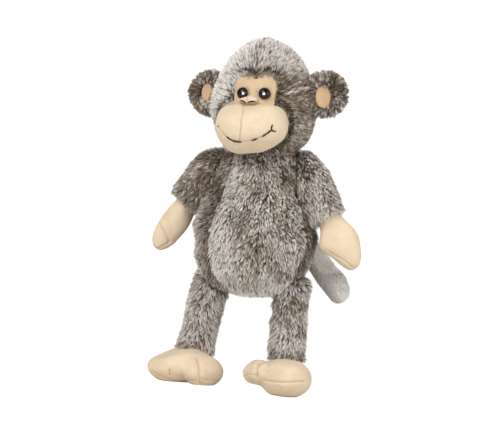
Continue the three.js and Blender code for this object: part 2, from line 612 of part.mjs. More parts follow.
// An arm: a plush sleeve seated on the torso's side, and a velboa mitten tucked into its hem.
function addArm(group, side, armSpread) {
  const spread = THREE.MathUtils.degToRad(armSpread);
  const along = new THREE.Vector3(Math.sin(spread), 0, -Math.cos(spread));
  const middle = shoulderSeat.clone().addScaledVector(shoulderAxis, SHOULDER_INSET);
  const frame = limbFrame(middle, along);
  const place = (body) => solid(geometryOf(body).applyMatrix4(frame));
  const cutFrom = shoulderSeat.clone().addScaledVector(shoulderAxis, GAP);
  const torsoSide = beyond(cutFrom, shoulderAxis.clone().negate());

  const sleeveOutline = new Outline([
    [-SHOULDER_RADIUS * 0.95, 0, 0],
    [-SHOULDER_RADIUS * 0.8, SHOULDER_RADIUS * 0.52, SHOULDER_RADIUS * 0.52],
    [-SHOULDER_RADIUS * 0.35, SHOULDER_RADIUS * 0.92, SHOULDER_RADIUS * 0.92],
    [SLEEVE_LENGTH * 0.15, SHOULDER_RADIUS, SHOULDER_RADIUS],
    [SLEEVE_LENGTH, HEM_RADIUS, HEM_RADIUS],
    [SLEEVE_LENGTH + PLUSH * 2, HEM_RADIUS, HEM_RADIUS],
    [SLEEVE_LENGTH + PLUSH * 3, 0, 0],
  ]);
  const { cover, filling } = coverOf(sleeveOutline, PLUSH, LIMB_FACETS);
  const wrist = HEM_RADIUS - PLUSH;
  const tuck = SLEEVE_LENGTH - WRIST_TUCK;
  const pastHem = beyond(new THREE.Vector3(0, 0, SLEEVE_LENGTH), UP);
  const pastWrist = beyond(new THREE.Vector3(0, 0, tuck - GAP), UP);
  const sleeve = cover.subtract(pastHem).subtract(solid(disc(wrist + GAP, tuck - GAP, REACH)));
  addPiece(group, `${side}_arm_cover`, place(sleeve).subtract(torsoSide), plush);
  addPiece(group, `${side}_arm_filling`, place(filling.subtract(pastWrist)).subtract(torsoSide), fibre);

  const handOutline = new Outline([
    [tuck - PLUSH, 0, 0],
    [tuck - PLUSH * 0.8, wrist, wrist],
    [SLEEVE_LENGTH, wrist, wrist],
    [SLEEVE_LENGTH + HAND_LENGTH * 0.12, HAND_HALF_WIDTH * 0.9, HAND_HALF_DEPTH],
    [SLEEVE_LENGTH + HAND_LENGTH * 0.4, HAND_HALF_WIDTH, HAND_HALF_DEPTH],
    [SLEEVE_LENGTH + HAND_LENGTH * 0.75, HAND_HALF_WIDTH * 0.86, HAND_HALF_DEPTH * 0.85],
    [SLEEVE_LENGTH + HAND_LENGTH * 0.94, HAND_HALF_WIDTH * 0.5, HAND_HALF_DEPTH * 0.52],
    [SLEEVE_LENGTH + HAND_LENGTH, 0, 0],
  ]);
  const hand = coverOf(handOutline, VELBOA, HAND_FACETS);
  const down = UP.clone().negate();
  const sleeveSide = beyond(new THREE.Vector3(0, 0, tuck), down);
  const aboveHem = beyond(new THREE.Vector3(0, 0, SLEEVE_LENGTH + GAP), down);
  const hem = aboveHem.subtract(solid(disc(wrist, 0, REACH)));
  addPiece(group, `${side}_hand_cover`, place(hand.cover.subtract(sleeveSide).subtract(hem)), velboa);
  addPiece(group, `${side}_hand_filling`, place(hand.filling.subtract(sleeveSide)), fibre);
}

// A leg: a plush tube from the hip seam to the ankle seam.
function addLeg(group, side, ankleOut) {
  const ankle = new THREE.Vector3(ankleOut, ANKLE_BACK, ANKLE_HEIGHT + GAP);
  const inwards = new THREE.Vector3().crossVectors(hipAxis, FRONT);
  const toHip = hipSeat.clone().addScaledVector(inwards, LEG_SHIFT).sub(ankle);
  const length = toHip.length();
  const legOutline = new Outline([
    [-PLUSH * 3, 0, 0],
    [-PLUSH * 2, LEG_RADIUS * 0.9, LEG_RADIUS * 0.9],
    [0, LEG_RADIUS * 0.94, LEG_RADIUS * 0.94],
    [length * 0.5, LEG_RADIUS, LEG_RADIUS],
    [length, LEG_RADIUS, LEG_RADIUS],
    [length + LEG_RADIUS * 0.6, LEG_RADIUS * 0.7, LEG_RADIUS * 0.7],
    [length + LEG_RADIUS * 0.9, 0, 0],
  ]);
  const { cover, filling } = coverOf(legOutline, PLUSH, LIMB_FACETS);
  const place = (body) => solid(geometryOf(body).applyMatrix4(limbFrame(ankle, toHip)));
  const belowAnkle = beyond(ankle, UP.clone().negate());
  const torsoSide = beyond(hipSeat.clone().addScaledVector(hipAxis, GAP), hipAxis.clone().negate());
  const trim = (body) => place(body).subtract(belowAnkle).subtract(torsoSide);
  addPiece(group, `${side}_leg_cover`, trim(cover), plush);
  addPiece(group, `${side}_leg_filling`, trim(filling), fibre);
}

// A foot: a broad velboa cushion with a big toe on its inner side, flat underneath.
function addFoot(group, side, ankleOut, toeHeight, toeLift) {
  const footPoint = (along, width, height) => [
    along,
    FOOT_HALF_WIDTH * width,
    ((FOOT_HEIGHT + SOLE_TRIM) / 2) * height,
    (FOOT_HEIGHT - SOLE_TRIM) / 2,
  ];
  const soleOutline = new Outline([
    footPoint(-HEEL_LENGTH, 0, 0),
    footPoint(-HEEL_LENGTH * 0.9, 0.42, 0.5),
    footPoint(-HEEL_LENGTH * 0.45, 0.76, 0.88),
    footPoint(TOE_LENGTH * 0.2, 0.94, 1),
    footPoint(TOE_LENGTH * 0.6, 1, 0.97),
    footPoint(TOE_LENGTH * 0.86, 0.76, 0.72),
    footPoint(TOE_LENGTH * 0.97, 0.36, 0.34),
    footPoint(TOE_LENGTH, 0, 0),
  ]);
  const toePoint = (along, size) => [
    BIG_TOE_FORWARD + BIG_TOE_HALF_LENGTH * along,
    BIG_TOE_HALF_WIDTH * size,
    ((toeHeight + SOLE_TRIM) / 2) * size,
    (toeHeight - SOLE_TRIM) / 2 + toeLift,
  ];
  const toeOutline = new Outline([
    toePoint(-1, 0),
    toePoint(-0.9, 0.44),
    toePoint(-0.5, 0.86),
    toePoint(0, 1),
    toePoint(0.5, 0.86),
    toePoint(0.9, 0.44),
    toePoint(1, 0),
  ]);
  const lay = (body, side) => solid(geometryOf(body).translate(side, 0, 0).rotateX(Math.PI / 2));
  const outside = lay(solid(soleOutline.form(...FOOT_FACETS)), 0).add(
    lay(solid(toeOutline.form(...TOE_FACETS)), -BIG_TOE_SIDE),
  );
  const inside = (depth) => {
    const toe = lay(lining(toeOutline, depth, ...TOE_FACETS), -BIG_TOE_SIDE);
    return lay(lining(soleOutline, depth, ...FOOT_FACETS), 0).add(toe);
  };
  const floorAt = (height) => beyond(new THREE.Vector3(0, 0, height), UP.clone().negate());
  const legRoom = solid(disc(LEG_RADIUS + PLUSH, ANKLE_HEIGHT, REACH));
  const opening = solid(disc(ANKLE_OPENING, ANKLE_HEIGHT / 2, REACH));
  const plug = solid(disc(ANKLE_OPENING - GAP, ANKLE_HEIGHT / 2 + GAP, ANKLE_HEIGHT));
  const hollow = inside(VELBOA).subtract(floorAt(VELBOA));
  const cover = outside.subtract(floorAt(0)).subtract(legRoom).subtract(hollow).subtract(opening);
  const padding = inside(VELBOA + GAP).subtract(floorAt(VELBOA + GAP)).subtract(legRoom).add(plug);
  const frame = new THREE.Matrix4().makeRotationZ(THREE.MathUtils.degToRad(FOOT_TOE_OUT));
  frame.setPosition(ankleOut, ANKLE_BACK, 0);
  const place = (body) => solid(geometryOf(body).applyMatrix4(frame));
  addPiece(group, `${side}_foot_cover`, place(cover), velboa);
  addPiece(group, `${side}_foot_filling`, place(padding), fibre);
}

// The tail: a bent plush tube sewn to the back, which falls away to the toy's left.
function addTail() {
  const group = new THREE.Group();
  const runY = tailSeat.y + TAIL_RADIUS + 2 * GAP;
  const bend = new THREE.CatmullRomCurve3([
    new THREE.Vector3(-TAIL_REACH * 0.1, tailSeat.y - TAIL_RADIUS * 0.9, tailZ),
    new THREE.Vector3(TAIL_REACH * 0.03, tailSeat.y + TAIL_RADIUS * 0.15, tailZ),
    new THREE.Vector3(TAIL_REACH * 0.22, runY, tailZ - TAIL_FALL * 0.03),
    new THREE.Vector3(TAIL_REACH * 0.52, runY + TAIL_RADIUS * 0.2, tailZ - TAIL_FALL * 0.18),
    new THREE.Vector3(TAIL_REACH * 0.8, runY + TAIL_RADIUS * 0.1, tailZ - TAIL_FALL * 0.55),
    new THREE.Vector3(TAIL_REACH, runY, tailZ - TAIL_FALL),
  ]);
  const length = bend.getLength();
  const straight = new Outline([
    [0, 0, 0],
    [TAIL_RADIUS * 0.1, TAIL_RADIUS * 0.9, TAIL_RADIUS * 0.9],
    [TAIL_RADIUS * 0.6, TAIL_RADIUS, TAIL_RADIUS],
    [length - TAIL_RADIUS, TAIL_RADIUS, TAIL_RADIUS],
    [length - TAIL_RADIUS * 0.3, TAIL_RADIUS * 0.7, TAIL_RADIUS * 0.7],
    [length, 0, 0],
  ]);
  const bent = (body) => {
    const tube = geometryOf(body);
    const places = tube.getAttribute("position");
    for (let i = 0; i < places.count; i += 1) {
      const share = THREE.MathUtils.clamp(places.getZ(i) / length, 0, 1);
      const frame = limbFrame(bend.getPointAt(share), bend.getTangentAt(share), UP);
      const local = new THREE.Vector3(places.getX(i), places.getY(i), 0).applyMatrix4(frame);
      places.setXYZ(i, local.x, local.y, local.z);
    }
    return solid(tube);
  };
  const seat = new THREE.Vector3(0, tailSeat.y + GAP, tailZ);
  const inward = beyond(seat, FRONT);
  const skin = bent(solid(straight.form(...TAIL_FACETS)));
  const hollow = bent(lining(straight, TAIL_PLUSH, ...TAIL_FACETS));
  const stuffing = bent(lining(straight, TAIL_PLUSH + GAP, ...TAIL_FACETS));
  addPiece(group, "tail_cover", skin.subtract(hollow).subtract(inward), tailPlush);
  addPiece(group, "tail_filling", stuffing.subtract(inward), fibre);
  monkey.add(group);
}

addTorso();
const head = new THREE.Group();
head.position.copy(neck);
head.quaternion.copy(headLean);
addHead(head);
monkey.add(head);
const sides = [
  {
    side: "left",
    mirror: 1,
    earReach: LEFT_EAR_REACH,
    earLining: {
      halfWidth: LEFT_LINING_HALF_WIDTH,
      halfHeight: LEFT_LINING_HALF_HEIGHT,
      reach: LEFT_LINING_REACH,
      drop: LEFT_LINING_DROP,
    },
    armSpread: LEFT_ARM_SPREAD,
    ankleOut: LEFT_ANKLE_OUT,
    toeHeight: LEFT_TOE_HEIGHT,
    toeLift: LEFT_TOE_LIFT,
  },
  {
    side: "right",
    mirror: -1,
    earReach: RIGHT_EAR_REACH,
    earLining: {
      halfWidth: RIGHT_LINING_HALF_WIDTH,
      halfHeight: RIGHT_LINING_HALF_HEIGHT,
      reach: RIGHT_LINING_REACH,
      drop: RIGHT_LINING_DROP,
    },
    armSpread: RIGHT_ARM_SPREAD,
    ankleOut: RIGHT_ANKLE_OUT,
    toeHeight: RIGHT_TOE_HEIGHT,
    toeLift: RIGHT_TOE_LIFT,
  },
];
for (const { side, mirror, earReach, earLining, armSpread, ankleOut, toeHeight, toeLift } of sides) {
  const ear = new THREE.Group();
  addEar(ear, side, earReach, earLining);
  ear.scale.x = mirror;
  head.add(ear);
  const limbs = new THREE.Group();
  addArm(limbs, side, armSpread);
  addLeg(limbs, side, ankleOut);
  addFoot(limbs, side, ankleOut, toeHeight, toeLift);
  limbs.scale.x = mirror;
  monkey.add(limbs);
}
addTail();

// The origin lies on the floor, under the middle of the toy's width and depth.
monkey.updateMatrixWorld(true);
const middle = new THREE.Box3().setFromObject(monkey, true).getCenter(new THREE.Vector3());
monkey.position.set(-middle.x, -middle.y, 0);

export default monkey;
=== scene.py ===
# %% [markdown]
# # A plush monkey, dressed over its CAD frame
# The frame gives every sewn piece of the toy its place and size. This lesson covers those solids with what
# a person sees: a long frosted pile on the body, short cream velboa on the face, hands and feet, and
# embroidered thread. The first cell loads the frame.

# %% Load the frame
import json
import math

import bpy
import numpy as np
from mathutils import Matrix, Vector
from mathutils.bvhtree import BVHTree
from mathutils.kdtree import KDTree


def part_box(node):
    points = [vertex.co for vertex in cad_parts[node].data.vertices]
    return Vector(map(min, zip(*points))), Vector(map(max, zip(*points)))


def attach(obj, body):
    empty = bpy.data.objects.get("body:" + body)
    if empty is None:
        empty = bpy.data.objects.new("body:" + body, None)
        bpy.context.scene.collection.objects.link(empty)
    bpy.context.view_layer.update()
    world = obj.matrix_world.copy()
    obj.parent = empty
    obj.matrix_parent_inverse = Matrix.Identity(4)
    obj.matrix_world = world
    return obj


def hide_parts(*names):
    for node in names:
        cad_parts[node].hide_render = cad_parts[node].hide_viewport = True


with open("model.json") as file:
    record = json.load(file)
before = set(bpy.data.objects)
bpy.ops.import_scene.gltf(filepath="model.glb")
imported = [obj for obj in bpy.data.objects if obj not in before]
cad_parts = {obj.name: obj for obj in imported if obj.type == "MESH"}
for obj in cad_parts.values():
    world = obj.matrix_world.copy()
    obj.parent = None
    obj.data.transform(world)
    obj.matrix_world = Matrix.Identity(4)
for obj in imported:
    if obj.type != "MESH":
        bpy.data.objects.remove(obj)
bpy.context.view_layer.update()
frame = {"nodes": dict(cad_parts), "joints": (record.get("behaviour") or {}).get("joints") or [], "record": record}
joints = {joint["name"]: joint for joint in frame["joints"]}
SIDES = {"left": 1, "right": -1}
MM = 0.001

# %% [markdown]
# ## The camera
# The photograph was taken almost level, from a little to the toy's left, and the toy leans six degrees in
# it. A long lens far away keeps the outlines nearly parallel. One helper gives the line of sight through a
# point of the picture, which later puts the embroidery where it is seen, on the surface that carries it.

# %% Camera
PICTURE_WIDTH, PICTURE_HEIGHT = 500, 430
SIGHT_TURN, SIGHT_RISE, SIGHT_ROLL = math.radians(18), math.radians(3), math.radians(6)
SIGHT_DISTANCE = 4.0
PIXELS_PER_METRE = 952
AIM = Vector((0, 0, 0.185))
AIM_X, AIM_Y = 260, 213

level = Vector((math.cos(SIGHT_TURN), math.sin(SIGHT_TURN), 0))
backward = Vector((math.sin(SIGHT_TURN), -math.cos(SIGHT_TURN), 0)) * math.cos(SIGHT_RISE)
backward.z = math.sin(SIGHT_RISE)
upright = backward.cross(level)
picture_right = level * math.cos(SIGHT_ROLL) + upright * math.sin(SIGHT_ROLL)
picture_up = upright * math.cos(SIGHT_ROLL) - level * math.sin(SIGHT_ROLL)
off_right = (PICTURE_WIDTH / 2 - AIM_X) / PIXELS_PER_METRE
off_up = (AIM_Y - PICTURE_HEIGHT / 2) / PIXELS_PER_METRE
middle = AIM + picture_right * off_right + picture_up * off_up
eye_point = middle + backward * SIGHT_DISTANCE

bpy.ops.object.camera_add()
camera = bpy.context.object
turn = Matrix((picture_right, picture_up, backward)).transposed().to_4x4()
camera.matrix_world = Matrix.Translation(eye_point) @ turn
camera.data.sensor_width = 36
camera.data.lens = 36 * SIGHT_DISTANCE * PIXELS_PER_METRE / PICTURE_WIDTH
camera.data.clip_end = 50
bpy.context.scene.camera = camera


def sight(x, y):
    across = picture_right * (x - PICTURE_WIDTH / 2) / PIXELS_PER_METRE
    down = picture_up * (PICTURE_HEIGHT / 2 - y) / PIXELS_PER_METRE
    return eye_point, (middle + across + down - eye_point).normalized()


print("lens", round(camera.data.lens), "mm")

# %% [markdown]
# ## Shader sums in plain Python
# A material is a net of nodes. Wrapping a socket in a small class lets the sums be written as sums: each
# operator adds one Math node. Every other kind of node comes from one method.

# %% Shader helper
class Wire:
    def __init__(self, tree, socket):
        self.tree = tree
        self.socket = socket

    def node(self, kind, output=0, settings=None, **inputs):
        made = self.tree.nodes.new(kind)
        for name, value in (settings or {}).items():
            setattr(made, name, value)
        for name, value in inputs.items():
            key = int(name[1:]) if name[0] == "_" and name[1:].isdigit() else name.replace("_", " ")
            if isinstance(value, Wire):
                self.tree.links.new(value.socket, made.inputs[key])
            else:
                made.inputs[key].default_value = value
        return Wire(self.tree, made.outputs[output])

    def maths(self, operation, first, second):
        return self.node("ShaderNodeMath", settings={"operation": operation}, _0=first, _1=second)

    def __add__(self, other):
        return self.maths("ADD", self, other)

    __radd__ = __add__

    def __sub__(self, other):
        return self.maths("SUBTRACT", self, other)

    def __rsub__(self, other):
        return self.maths("SUBTRACT", other, self)

    def __mul__(self, other):
        return self.maths("MULTIPLY", self, other)

    __rmul__ = __mul__

    def eased(self, low, high):
        settings = {"interpolation_type": "SMOOTHSTEP"}
        return self.node("ShaderNodeMapRange", settings=settings, Value=self, From_Min=low, From_Max=high)

    def tint(self, first, second):
        return self.node("ShaderNodeMix", 2, {"data_type": "RGBA"}, _0=self, _6=first, _7=second)

    def noise(self, scale, detail=3.0, roughness=0.5):
        return self.node("ShaderNodeTexNoise", Vector=self, Scale=scale, Detail=detail, Roughness=roughness)


def new_material(name, **constants):
    material = bpy.data.materials.new(name)
    material.use_nodes = True
    shader = material.node_tree.nodes["Principled BSDF"]
    for key, value in constants.items():
        shader.inputs[key.replace("_", " ")].default_value = value
    return material, Wire(material.node_tree, None), shader


def feed(material, shader, **wires):
    for key, wire in wires.items():
        material.node_tree.links.new(wire.socket, shader.inputs[key.replace("_", " ")])


# %% [markdown]
# ## Frosted plush
# The pile is dyed dark brown at its roots and left pale at its tips. Each strand carries a small strip of a
# UV map: across it runs the strand's own shade, and up it runs the way from root to tip. The finish reads
# nothing else, so thousands of strands share one small picture when they are baked.

# %% Plush finishes
PILE_MAP = "OFBake"


def pile_material(name, root, dark, middle_tone, pale, rise_from, rise_to):
    material, start, shader = new_material(name, Roughness=0.8, Specular_IOR_Level=0.08)
    place = start.node("ShaderNodeUVMap", settings={"uv_map": PILE_MAP})
    across = place.node("ShaderNodeSeparateXYZ", 0, Vector=place)
    along = Wire(across.tree, across.socket.node.outputs[1])
    lower = across.eased(0.0, 0.55).tint(dark, middle_tone)
    tip = across.eased(0.45, 1.0).tint(lower, pale)
    colour = along.eased(rise_from, rise_to).tint(root, tip)
    feed(material, shader, Base_Color=colour)
    return material


frosted_plush = pile_material(
    "frosted_plush",
    root=(0.06, 0.038, 0.024, 1),
    dark=(0.23, 0.16, 0.105, 1),
    middle_tone=(0.73, 0.64, 0.54, 1),
    pale=(0.985, 0.96, 0.915, 1),
    rise_from=0.2,
    rise_to=0.68,
)
tail_plush = pile_material(
    "tail_plush",
    root=(0.88, 0.83, 0.775, 1),
    dark=(0.86, 0.805, 0.745, 1),
    middle_tone=(0.95, 0.92, 0.885, 1),
    pale=(0.985, 0.97, 0.945, 1),
    rise_from=0.0,
    rise_to=0.6,
)
print("plush finishes:", frosted_plush.name, tail_plush.name)

# %% [markdown]
# ## Velboa, thread, eyes and fibre
# Velboa is a short brushed fabric: its nap gives a soft speckle and a fine grain, and the dye sits deeper
# where a seam pulls it in. An attribute painted on each piece marks those places, and it also carries
# painted shade: on undersides, in the thumb crease, round the eyes and at the edges of the ear linings.

# %% Velboa finish
SEAM_AND_SHADE = "seam_and_shade"


def velboa_material(name, light, deep, seam_and_shade_colour):
    material, start, shader = new_material(name, Roughness=0.85, Specular_IOR_Level=0.08)
    shader.inputs["Sheen Weight"].default_value = 0.25
    shader.inputs["Sheen Roughness"].default_value = 0.4
    place = start.node("ShaderNodeTexCoord", 3)
    brushed = place.noise(70.0, 2.0).eased(0.3, 0.7)
    speckle = place.noise(900.0, 3.0, 0.7).eased(0.25, 0.75)
    cloth = (brushed * 0.5 + speckle * 0.5).tint(deep, light)
    # This weight mixes in the deep colour for real seams and for painted shade alike.
    seam_and_shade_share = start.node("ShaderNodeAttribute", 2, {"attribute_name": SEAM_AND_SHADE})
    colour = seam_and_shade_share.eased(0.0, 1.0).tint(cloth, seam_and_shade_colour)
    nap = place.noise(1600.0, 2.0, 0.6) + place.noise(420.0, 2.0) * 0.5
    grain = start.node("ShaderNodeBump", Strength=0.55, Distance=0.0006, Height=nap)
    feed(material, shader, Base_Color=colour, Normal=grain)
    return material


cream_velboa = velboa_material(
    "cream_velboa",
    light=(0.8, 0.65, 0.465, 1),
    deep=(0.69, 0.535, 0.365, 1),
    seam_and_shade_colour=(0.46, 0.285, 0.16, 1),
)
patch_velboa = velboa_material(
    "patch_velboa",
    light=(0.67, 0.5, 0.315, 1),
    deep=(0.56, 0.4, 0.245, 1),
    seam_and_shade_colour=(0.3, 0.18, 0.1, 1),
)
tan_velboa = velboa_material(
    "tan_velboa",
    light=(0.65, 0.44, 0.26, 1),
    deep=(0.54, 0.345, 0.195, 1),
    seam_and_shade_colour=(0.3, 0.17, 0.09, 1),
)
print("velboa finishes:", cream_velboa.name, patch_velboa.name, tan_velboa.name)


# %% Thread, eye, washer and fibre finishes
def grained(name, first, second, scale, bump, **constants):
    material, start, shader = new_material(name, **constants)
    place = start.node("ShaderNodeTexCoord", 3)
    mottle = place.noise(scale, 4.0, 0.6)
    height = start.node("ShaderNodeBump", Strength=bump, Distance=0.0004, Height=mottle)
    feed(material, shader, Base_Color=mottle.eased(0.3, 0.7).tint(first, second), Normal=height)
    return material


dark_thread = grained(
    "dark_thread",
    first=(0.022, 0.01, 0.006, 1),
    second=(0.05, 0.024, 0.014, 1),
    scale=2400.0,
    bump=0.4,
    Roughness=0.8,
    Specular_IOR_Level=0.08,
)
white_fibre = grained(
    "white_fibre",
    first=(0.82, 0.8, 0.76, 1),
    second=(0.93, 0.92, 0.9, 1),
    scale=300.0,
    bump=0.8,
    Roughness=0.9,
)
washer_plastic = grained(
    "washer_plastic",
    first=(0.78, 0.77, 0.73, 1),
    second=(0.84, 0.83, 0.8, 1),
    scale=500.0,
    bump=0.1,
    Roughness=0.45,
)

EYE_RING = "ring"
PUPIL_BLACK, IRIS_BROWN = (0.006, 0.004, 0.003, 1), (0.032, 0.014, 0.008, 1)
eye_gloss, start, eye_shader = new_material("eye_gloss", Roughness=0.09, IOR=1.32)
eye_shader.inputs["Coat Weight"].default_value = 0.1
eye_shader.inputs["Coat Roughness"].default_value = 0.03
ring = start.node("ShaderNodeAttribute", 2, {"attribute_name": EYE_RING})
iris = ring.eased(0.55, 0.66) * (1 - ring.eased(0.84, 0.95))
feed(eye_gloss, eye_shader, Base_Color=iris.tint(PUPIL_BLACK, IRIS_BROWN))
print("finishes:", len(bpy.data.materials))

# %% [markdown]
# ## From CAD solids to soft forms
# A sewn form has no flat facets. Each one starts as a merged copy of its CAD solids, is turned into even
# small faces by a voxel remesh and is then smoothed. A few helpers read and move all the points of a mesh
# as one array, which is much quicker than asking for them one by one.

# %% Selecting and copying
def pick(obj):
    bpy.ops.object.select_all(action="DESELECT")
    obj.select_set(True)
    bpy.context.view_layer.objects.active = obj


def apply(obj, kind, **settings):
    pick(obj)
    modifier = obj.modifiers.new(kind.title(), kind)
    for key, value in settings.items():
        setattr(modifier, key, value)
    bpy.ops.object.modifier_apply(modifier=modifier.name)


def merged_copy(name, *nodes):
    bpy.ops.object.select_all(action="DESELECT")
    for node in nodes:
        twin = frame["nodes"][node].copy()
        twin.data = twin.data.copy()
        twin.parent = None
        twin.hide_render = twin.hide_viewport = False
        for key in list(twin.keys()):
            del twin[key]
        bpy.context.scene.collection.objects.link(twin)
        twin.select_set(True)
        bpy.context.view_layer.objects.active = twin
    if len(nodes) > 1:
        bpy.ops.object.join()
    piece = bpy.context.object
    piece.name = piece.data.name = name
    piece.data.materials.clear()
    bpy.ops.object.mode_set(mode="EDIT")
    bpy.ops.mesh.select_all(action="SELECT")
    bpy.ops.mesh.remove_doubles(threshold=1e-6)
    bpy.ops.object.mode_set(mode="OBJECT")
    return piece


# %% Points and faces
def points_of(obj):
    places = np.empty(len(obj.data.vertices) * 3)
    obj.data.vertices.foreach_get("co", places)
    return places.reshape(-1, 3)


def normals_of(obj):
    normals = np.empty(len(obj.data.vertices) * 3)
    obj.data.vertices.foreach_get("normal", normals)
    return normals.reshape(-1, 3)


def set_points(obj, places):
    obj.data.vertices.foreach_set("co", np.asarray(places, dtype=np.float32).ravel())
    obj.data.update()


def lift_above(piece, height):
    places = points_of(piece)
    places[:, 2] = np.maximum(places[:, 2], height * MM)
    set_points(piece, places)


def keep_faces(piece, kept):
    pick(piece)
    bpy.ops.object.mode_set(mode="EDIT")
    bpy.ops.mesh.select_mode(type="FACE")
    bpy.ops.mesh.select_all(action="DESELECT")
    bpy.ops.object.mode_set(mode="OBJECT")
    piece.data.polygons.foreach_set("select", ~kept)
    bpy.ops.object.mode_set(mode="EDIT")
    bpy.ops.mesh.delete(type="FACE")
    bpy.ops.object.mode_set(mode="OBJECT")


def face_middles(piece):
    middles = np.empty(len(piece.data.polygons) * 3)
    piece.data.polygons.foreach_get("center", middles)
    return middles.reshape(-1, 3)


def surface_tree(obj):
    faces = [tuple(face.vertices) for face in obj.data.polygons]
    return BVHTree.FromPolygons(points_of(obj).tolist(), faces)


# %% [markdown]
# ## Puffed cloth
# Stuffing presses a velboa cover outwards until its seams stop it. A short cloth run with air pressure does
# the same: the rim that is sewn to the next piece is held, and the rest swells. The toy is small, so the
# cloth is light and the pressure high, and no point may move further than a few millimetres.

# %% Soft forms
PUFF_PRESSURE = 200.0
PUFF_STIFFNESS = 1.0
PUFF_DAMPING = 0.1
PUFF_MASS = 0.0002
PUFF_FRAMES = 20
PUFF_LIMIT = 3.0


def plump(piece, held):
    before = points_of(piece)
    group = piece.vertex_groups.new(name="held")
    group.add([int(index) for index in np.flatnonzero(held(before))], 1.0, "REPLACE")
    pick(piece)
    bpy.ops.object.modifier_add(type="CLOTH")
    cloth = piece.modifiers[-1]
    cloth.settings.use_pressure = True
    cloth.settings.uniform_pressure_force = PUFF_PRESSURE
    cloth.settings.tension_stiffness = cloth.settings.compression_stiffness = PUFF_STIFFNESS
    cloth.settings.air_damping = PUFF_DAMPING
    cloth.settings.mass = PUFF_MASS
    cloth.settings.effector_weights.gravity = 0.0
    cloth.settings.vertex_group_mass = group.name
    for step in range(1, PUFF_FRAMES + 1):
        bpy.context.scene.frame_set(step)
    bpy.ops.object.modifier_apply(modifier=cloth.name)
    bpy.context.scene.frame_set(1)
    piece.vertex_groups.clear()
    move = points_of(piece) - before
    far = np.maximum(np.linalg.norm(move, axis=1), 1e-9)
    set_points(piece, before + move * np.minimum(PUFF_LIMIT * MM / far, 1)[:, None])
    print(piece.name, "swelled by", (far.mean() / MM).round(2), "mm on average")


def soft_form(name, nodes, voxel, rounds, finer=0, swell=0.0, held=None):
    piece = merged_copy(name, *nodes)
    apply(piece, "REMESH", mode="VOXEL", voxel_size=voxel * MM)
    apply(piece, "SMOOTH", factor=0.5, iterations=rounds)
    if swell:
        apply(piece, "DISPLACE", direction="NORMAL", strength=swell * MM, mid_level=0.0)
    if held:
        plump(piece, held)
    if finer:
        apply(piece, "SUBSURF", levels=finer, render_levels=finer)
    pick(piece)
    bpy.ops.object.shade_smooth()
    return piece


# %% [markdown]
# ## Backings and small corrections
# Pile takes up depth, so the backing of a plush piece lies below the CAD surface, except along the flat
# seat of a joint. A few places are then moved by some millimetres, to bring the outline to the photograph.
# Each correction holds a picture point, a reach in millimetres, and how far to move right and up.

# %% Drawing in and correcting
SEAT_BAND = 4.0


def hump(away, width):
    return np.exp(-((away / width) ** 2))


def along_seats(places, move, seats):
    for point, outward in seats:
        near = hump((places - point) @ outward, SEAT_BAND * MM)
        move = move - (near * (move @ outward))[:, None] * outward
    return move


def draw_in(piece, depth, seats):
    places = points_of(piece)
    set_points(piece, places + along_seats(places, normals_of(piece) * -depth * MM, seats))


def nudge(piece, spot, reach, right, up):
    start, along = (np.array(v) for v in sight(*spot))
    along = along / np.linalg.norm(along)
    places = points_of(piece)
    depth = (places - start) @ along
    aside = np.linalg.norm(places - start - depth[:, None] * along, axis=1)
    centre = places[np.argmin(aside + 0.05 * depth)]
    near = hump(np.linalg.norm(places - centre, axis=1), reach * MM)
    move = (np.array(level) * right + np.array(upright) * up) * MM
    set_points(piece, places + near[:, None] * move)


SIDE_CORRECTIONS = [((301, 158), 10, 3, 7), ((314, 252), 15, 3, -1)]
CORRECTIONS = {
    "torso_front_plush": [
        ((274, 292), 11, 0, -1.5),
        ((232, 290), 11, 0, 4),
        ((229, 156), 8, -2, 5),
        *SIDE_CORRECTIONS,
    ],
    "torso_back_plush": SIDE_CORRECTIONS,
    "tail_plush_cover": [((333, 296), 16, 1, -4), ((322, 287), 18, -1, -3), ((325, 267), 18, -2, -6)],
    "head_left_plush": [((302, 66), 15, -3, -1)],
    "head_right_plush": [((211, 107), 13, -3, 0)],
    "left_sleeve_plush": [((309, 162), 13, -1, 7), ((306, 156), 10, -3, 5)],
    "right_sleeve_plush": [
        ((222, 154), 9, 2, 5),
        ((190, 174), 15, -5, 1),
        ((179, 189), 11, -5, 0),
        ((194, 207), 9, 1, -5),
    ],
    "left_leg_plush": [((311, 284), 15, 4, 0), ((269, 306), 10, 7, 0), ((268, 350), 10, -3, -1)],
    "right_leg_plush": [((196, 273), 11, 7, -2), ((180, 344), 11, -4, -5), ((211, 350), 14, 1, -8)],
    "muzzle_form": [((235, 149), 19, -0.5, -6), ((263, 150), 13, 0, -2.5), ((247, 104), 9, 0, -1.2)],
    "nose_velboa": [((247, 100), 14, 0, -1.2)],
    "left_hand_velboa": [((329, 243), 12, -7, 0), ((325, 253), 10, -5, -1)],
    "right_hand_velboa": [((193, 211), 11, -6, 0), ((159, 245), 10, -1, -2)],
    "left_foot_velboa": [((246, 360), 9, 0, -5)],
    "right_foot_velboa": [((157, 354), 18, 0, -9), ((166, 347), 20, 0, -8)],
}


def correct(piece, like=None):
    for spot, reach, right, up in CORRECTIONS.get(like or piece.name, []):
        nudge(piece, spot, reach, right, up)
    return piece


# %% Dressing a piece
def dress(piece, body, nodes, material):
    piece.data.materials.clear()
    piece.data.materials.append(material)
    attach(piece, body)
    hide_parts(*nodes)


# %% [markdown]
# ## The pile
# Hair systems don't travel to other programs, so every strand here is a small tapered ribbon of three
# triangles. Roots are spread evenly over the backing, each strand leans the way the cloth was brushed, and
# neighbours draw together into tufts, which leaves the dark roots showing in between. Near the flat seat
# of a joint the pile is trimmed, so it closes the seam and still lets the limb turn.

# %% Pile helpers
NOISE_TABLE = 4096
LATTICE_PRIMES = np.array([73856093, 19349663, 83492791])


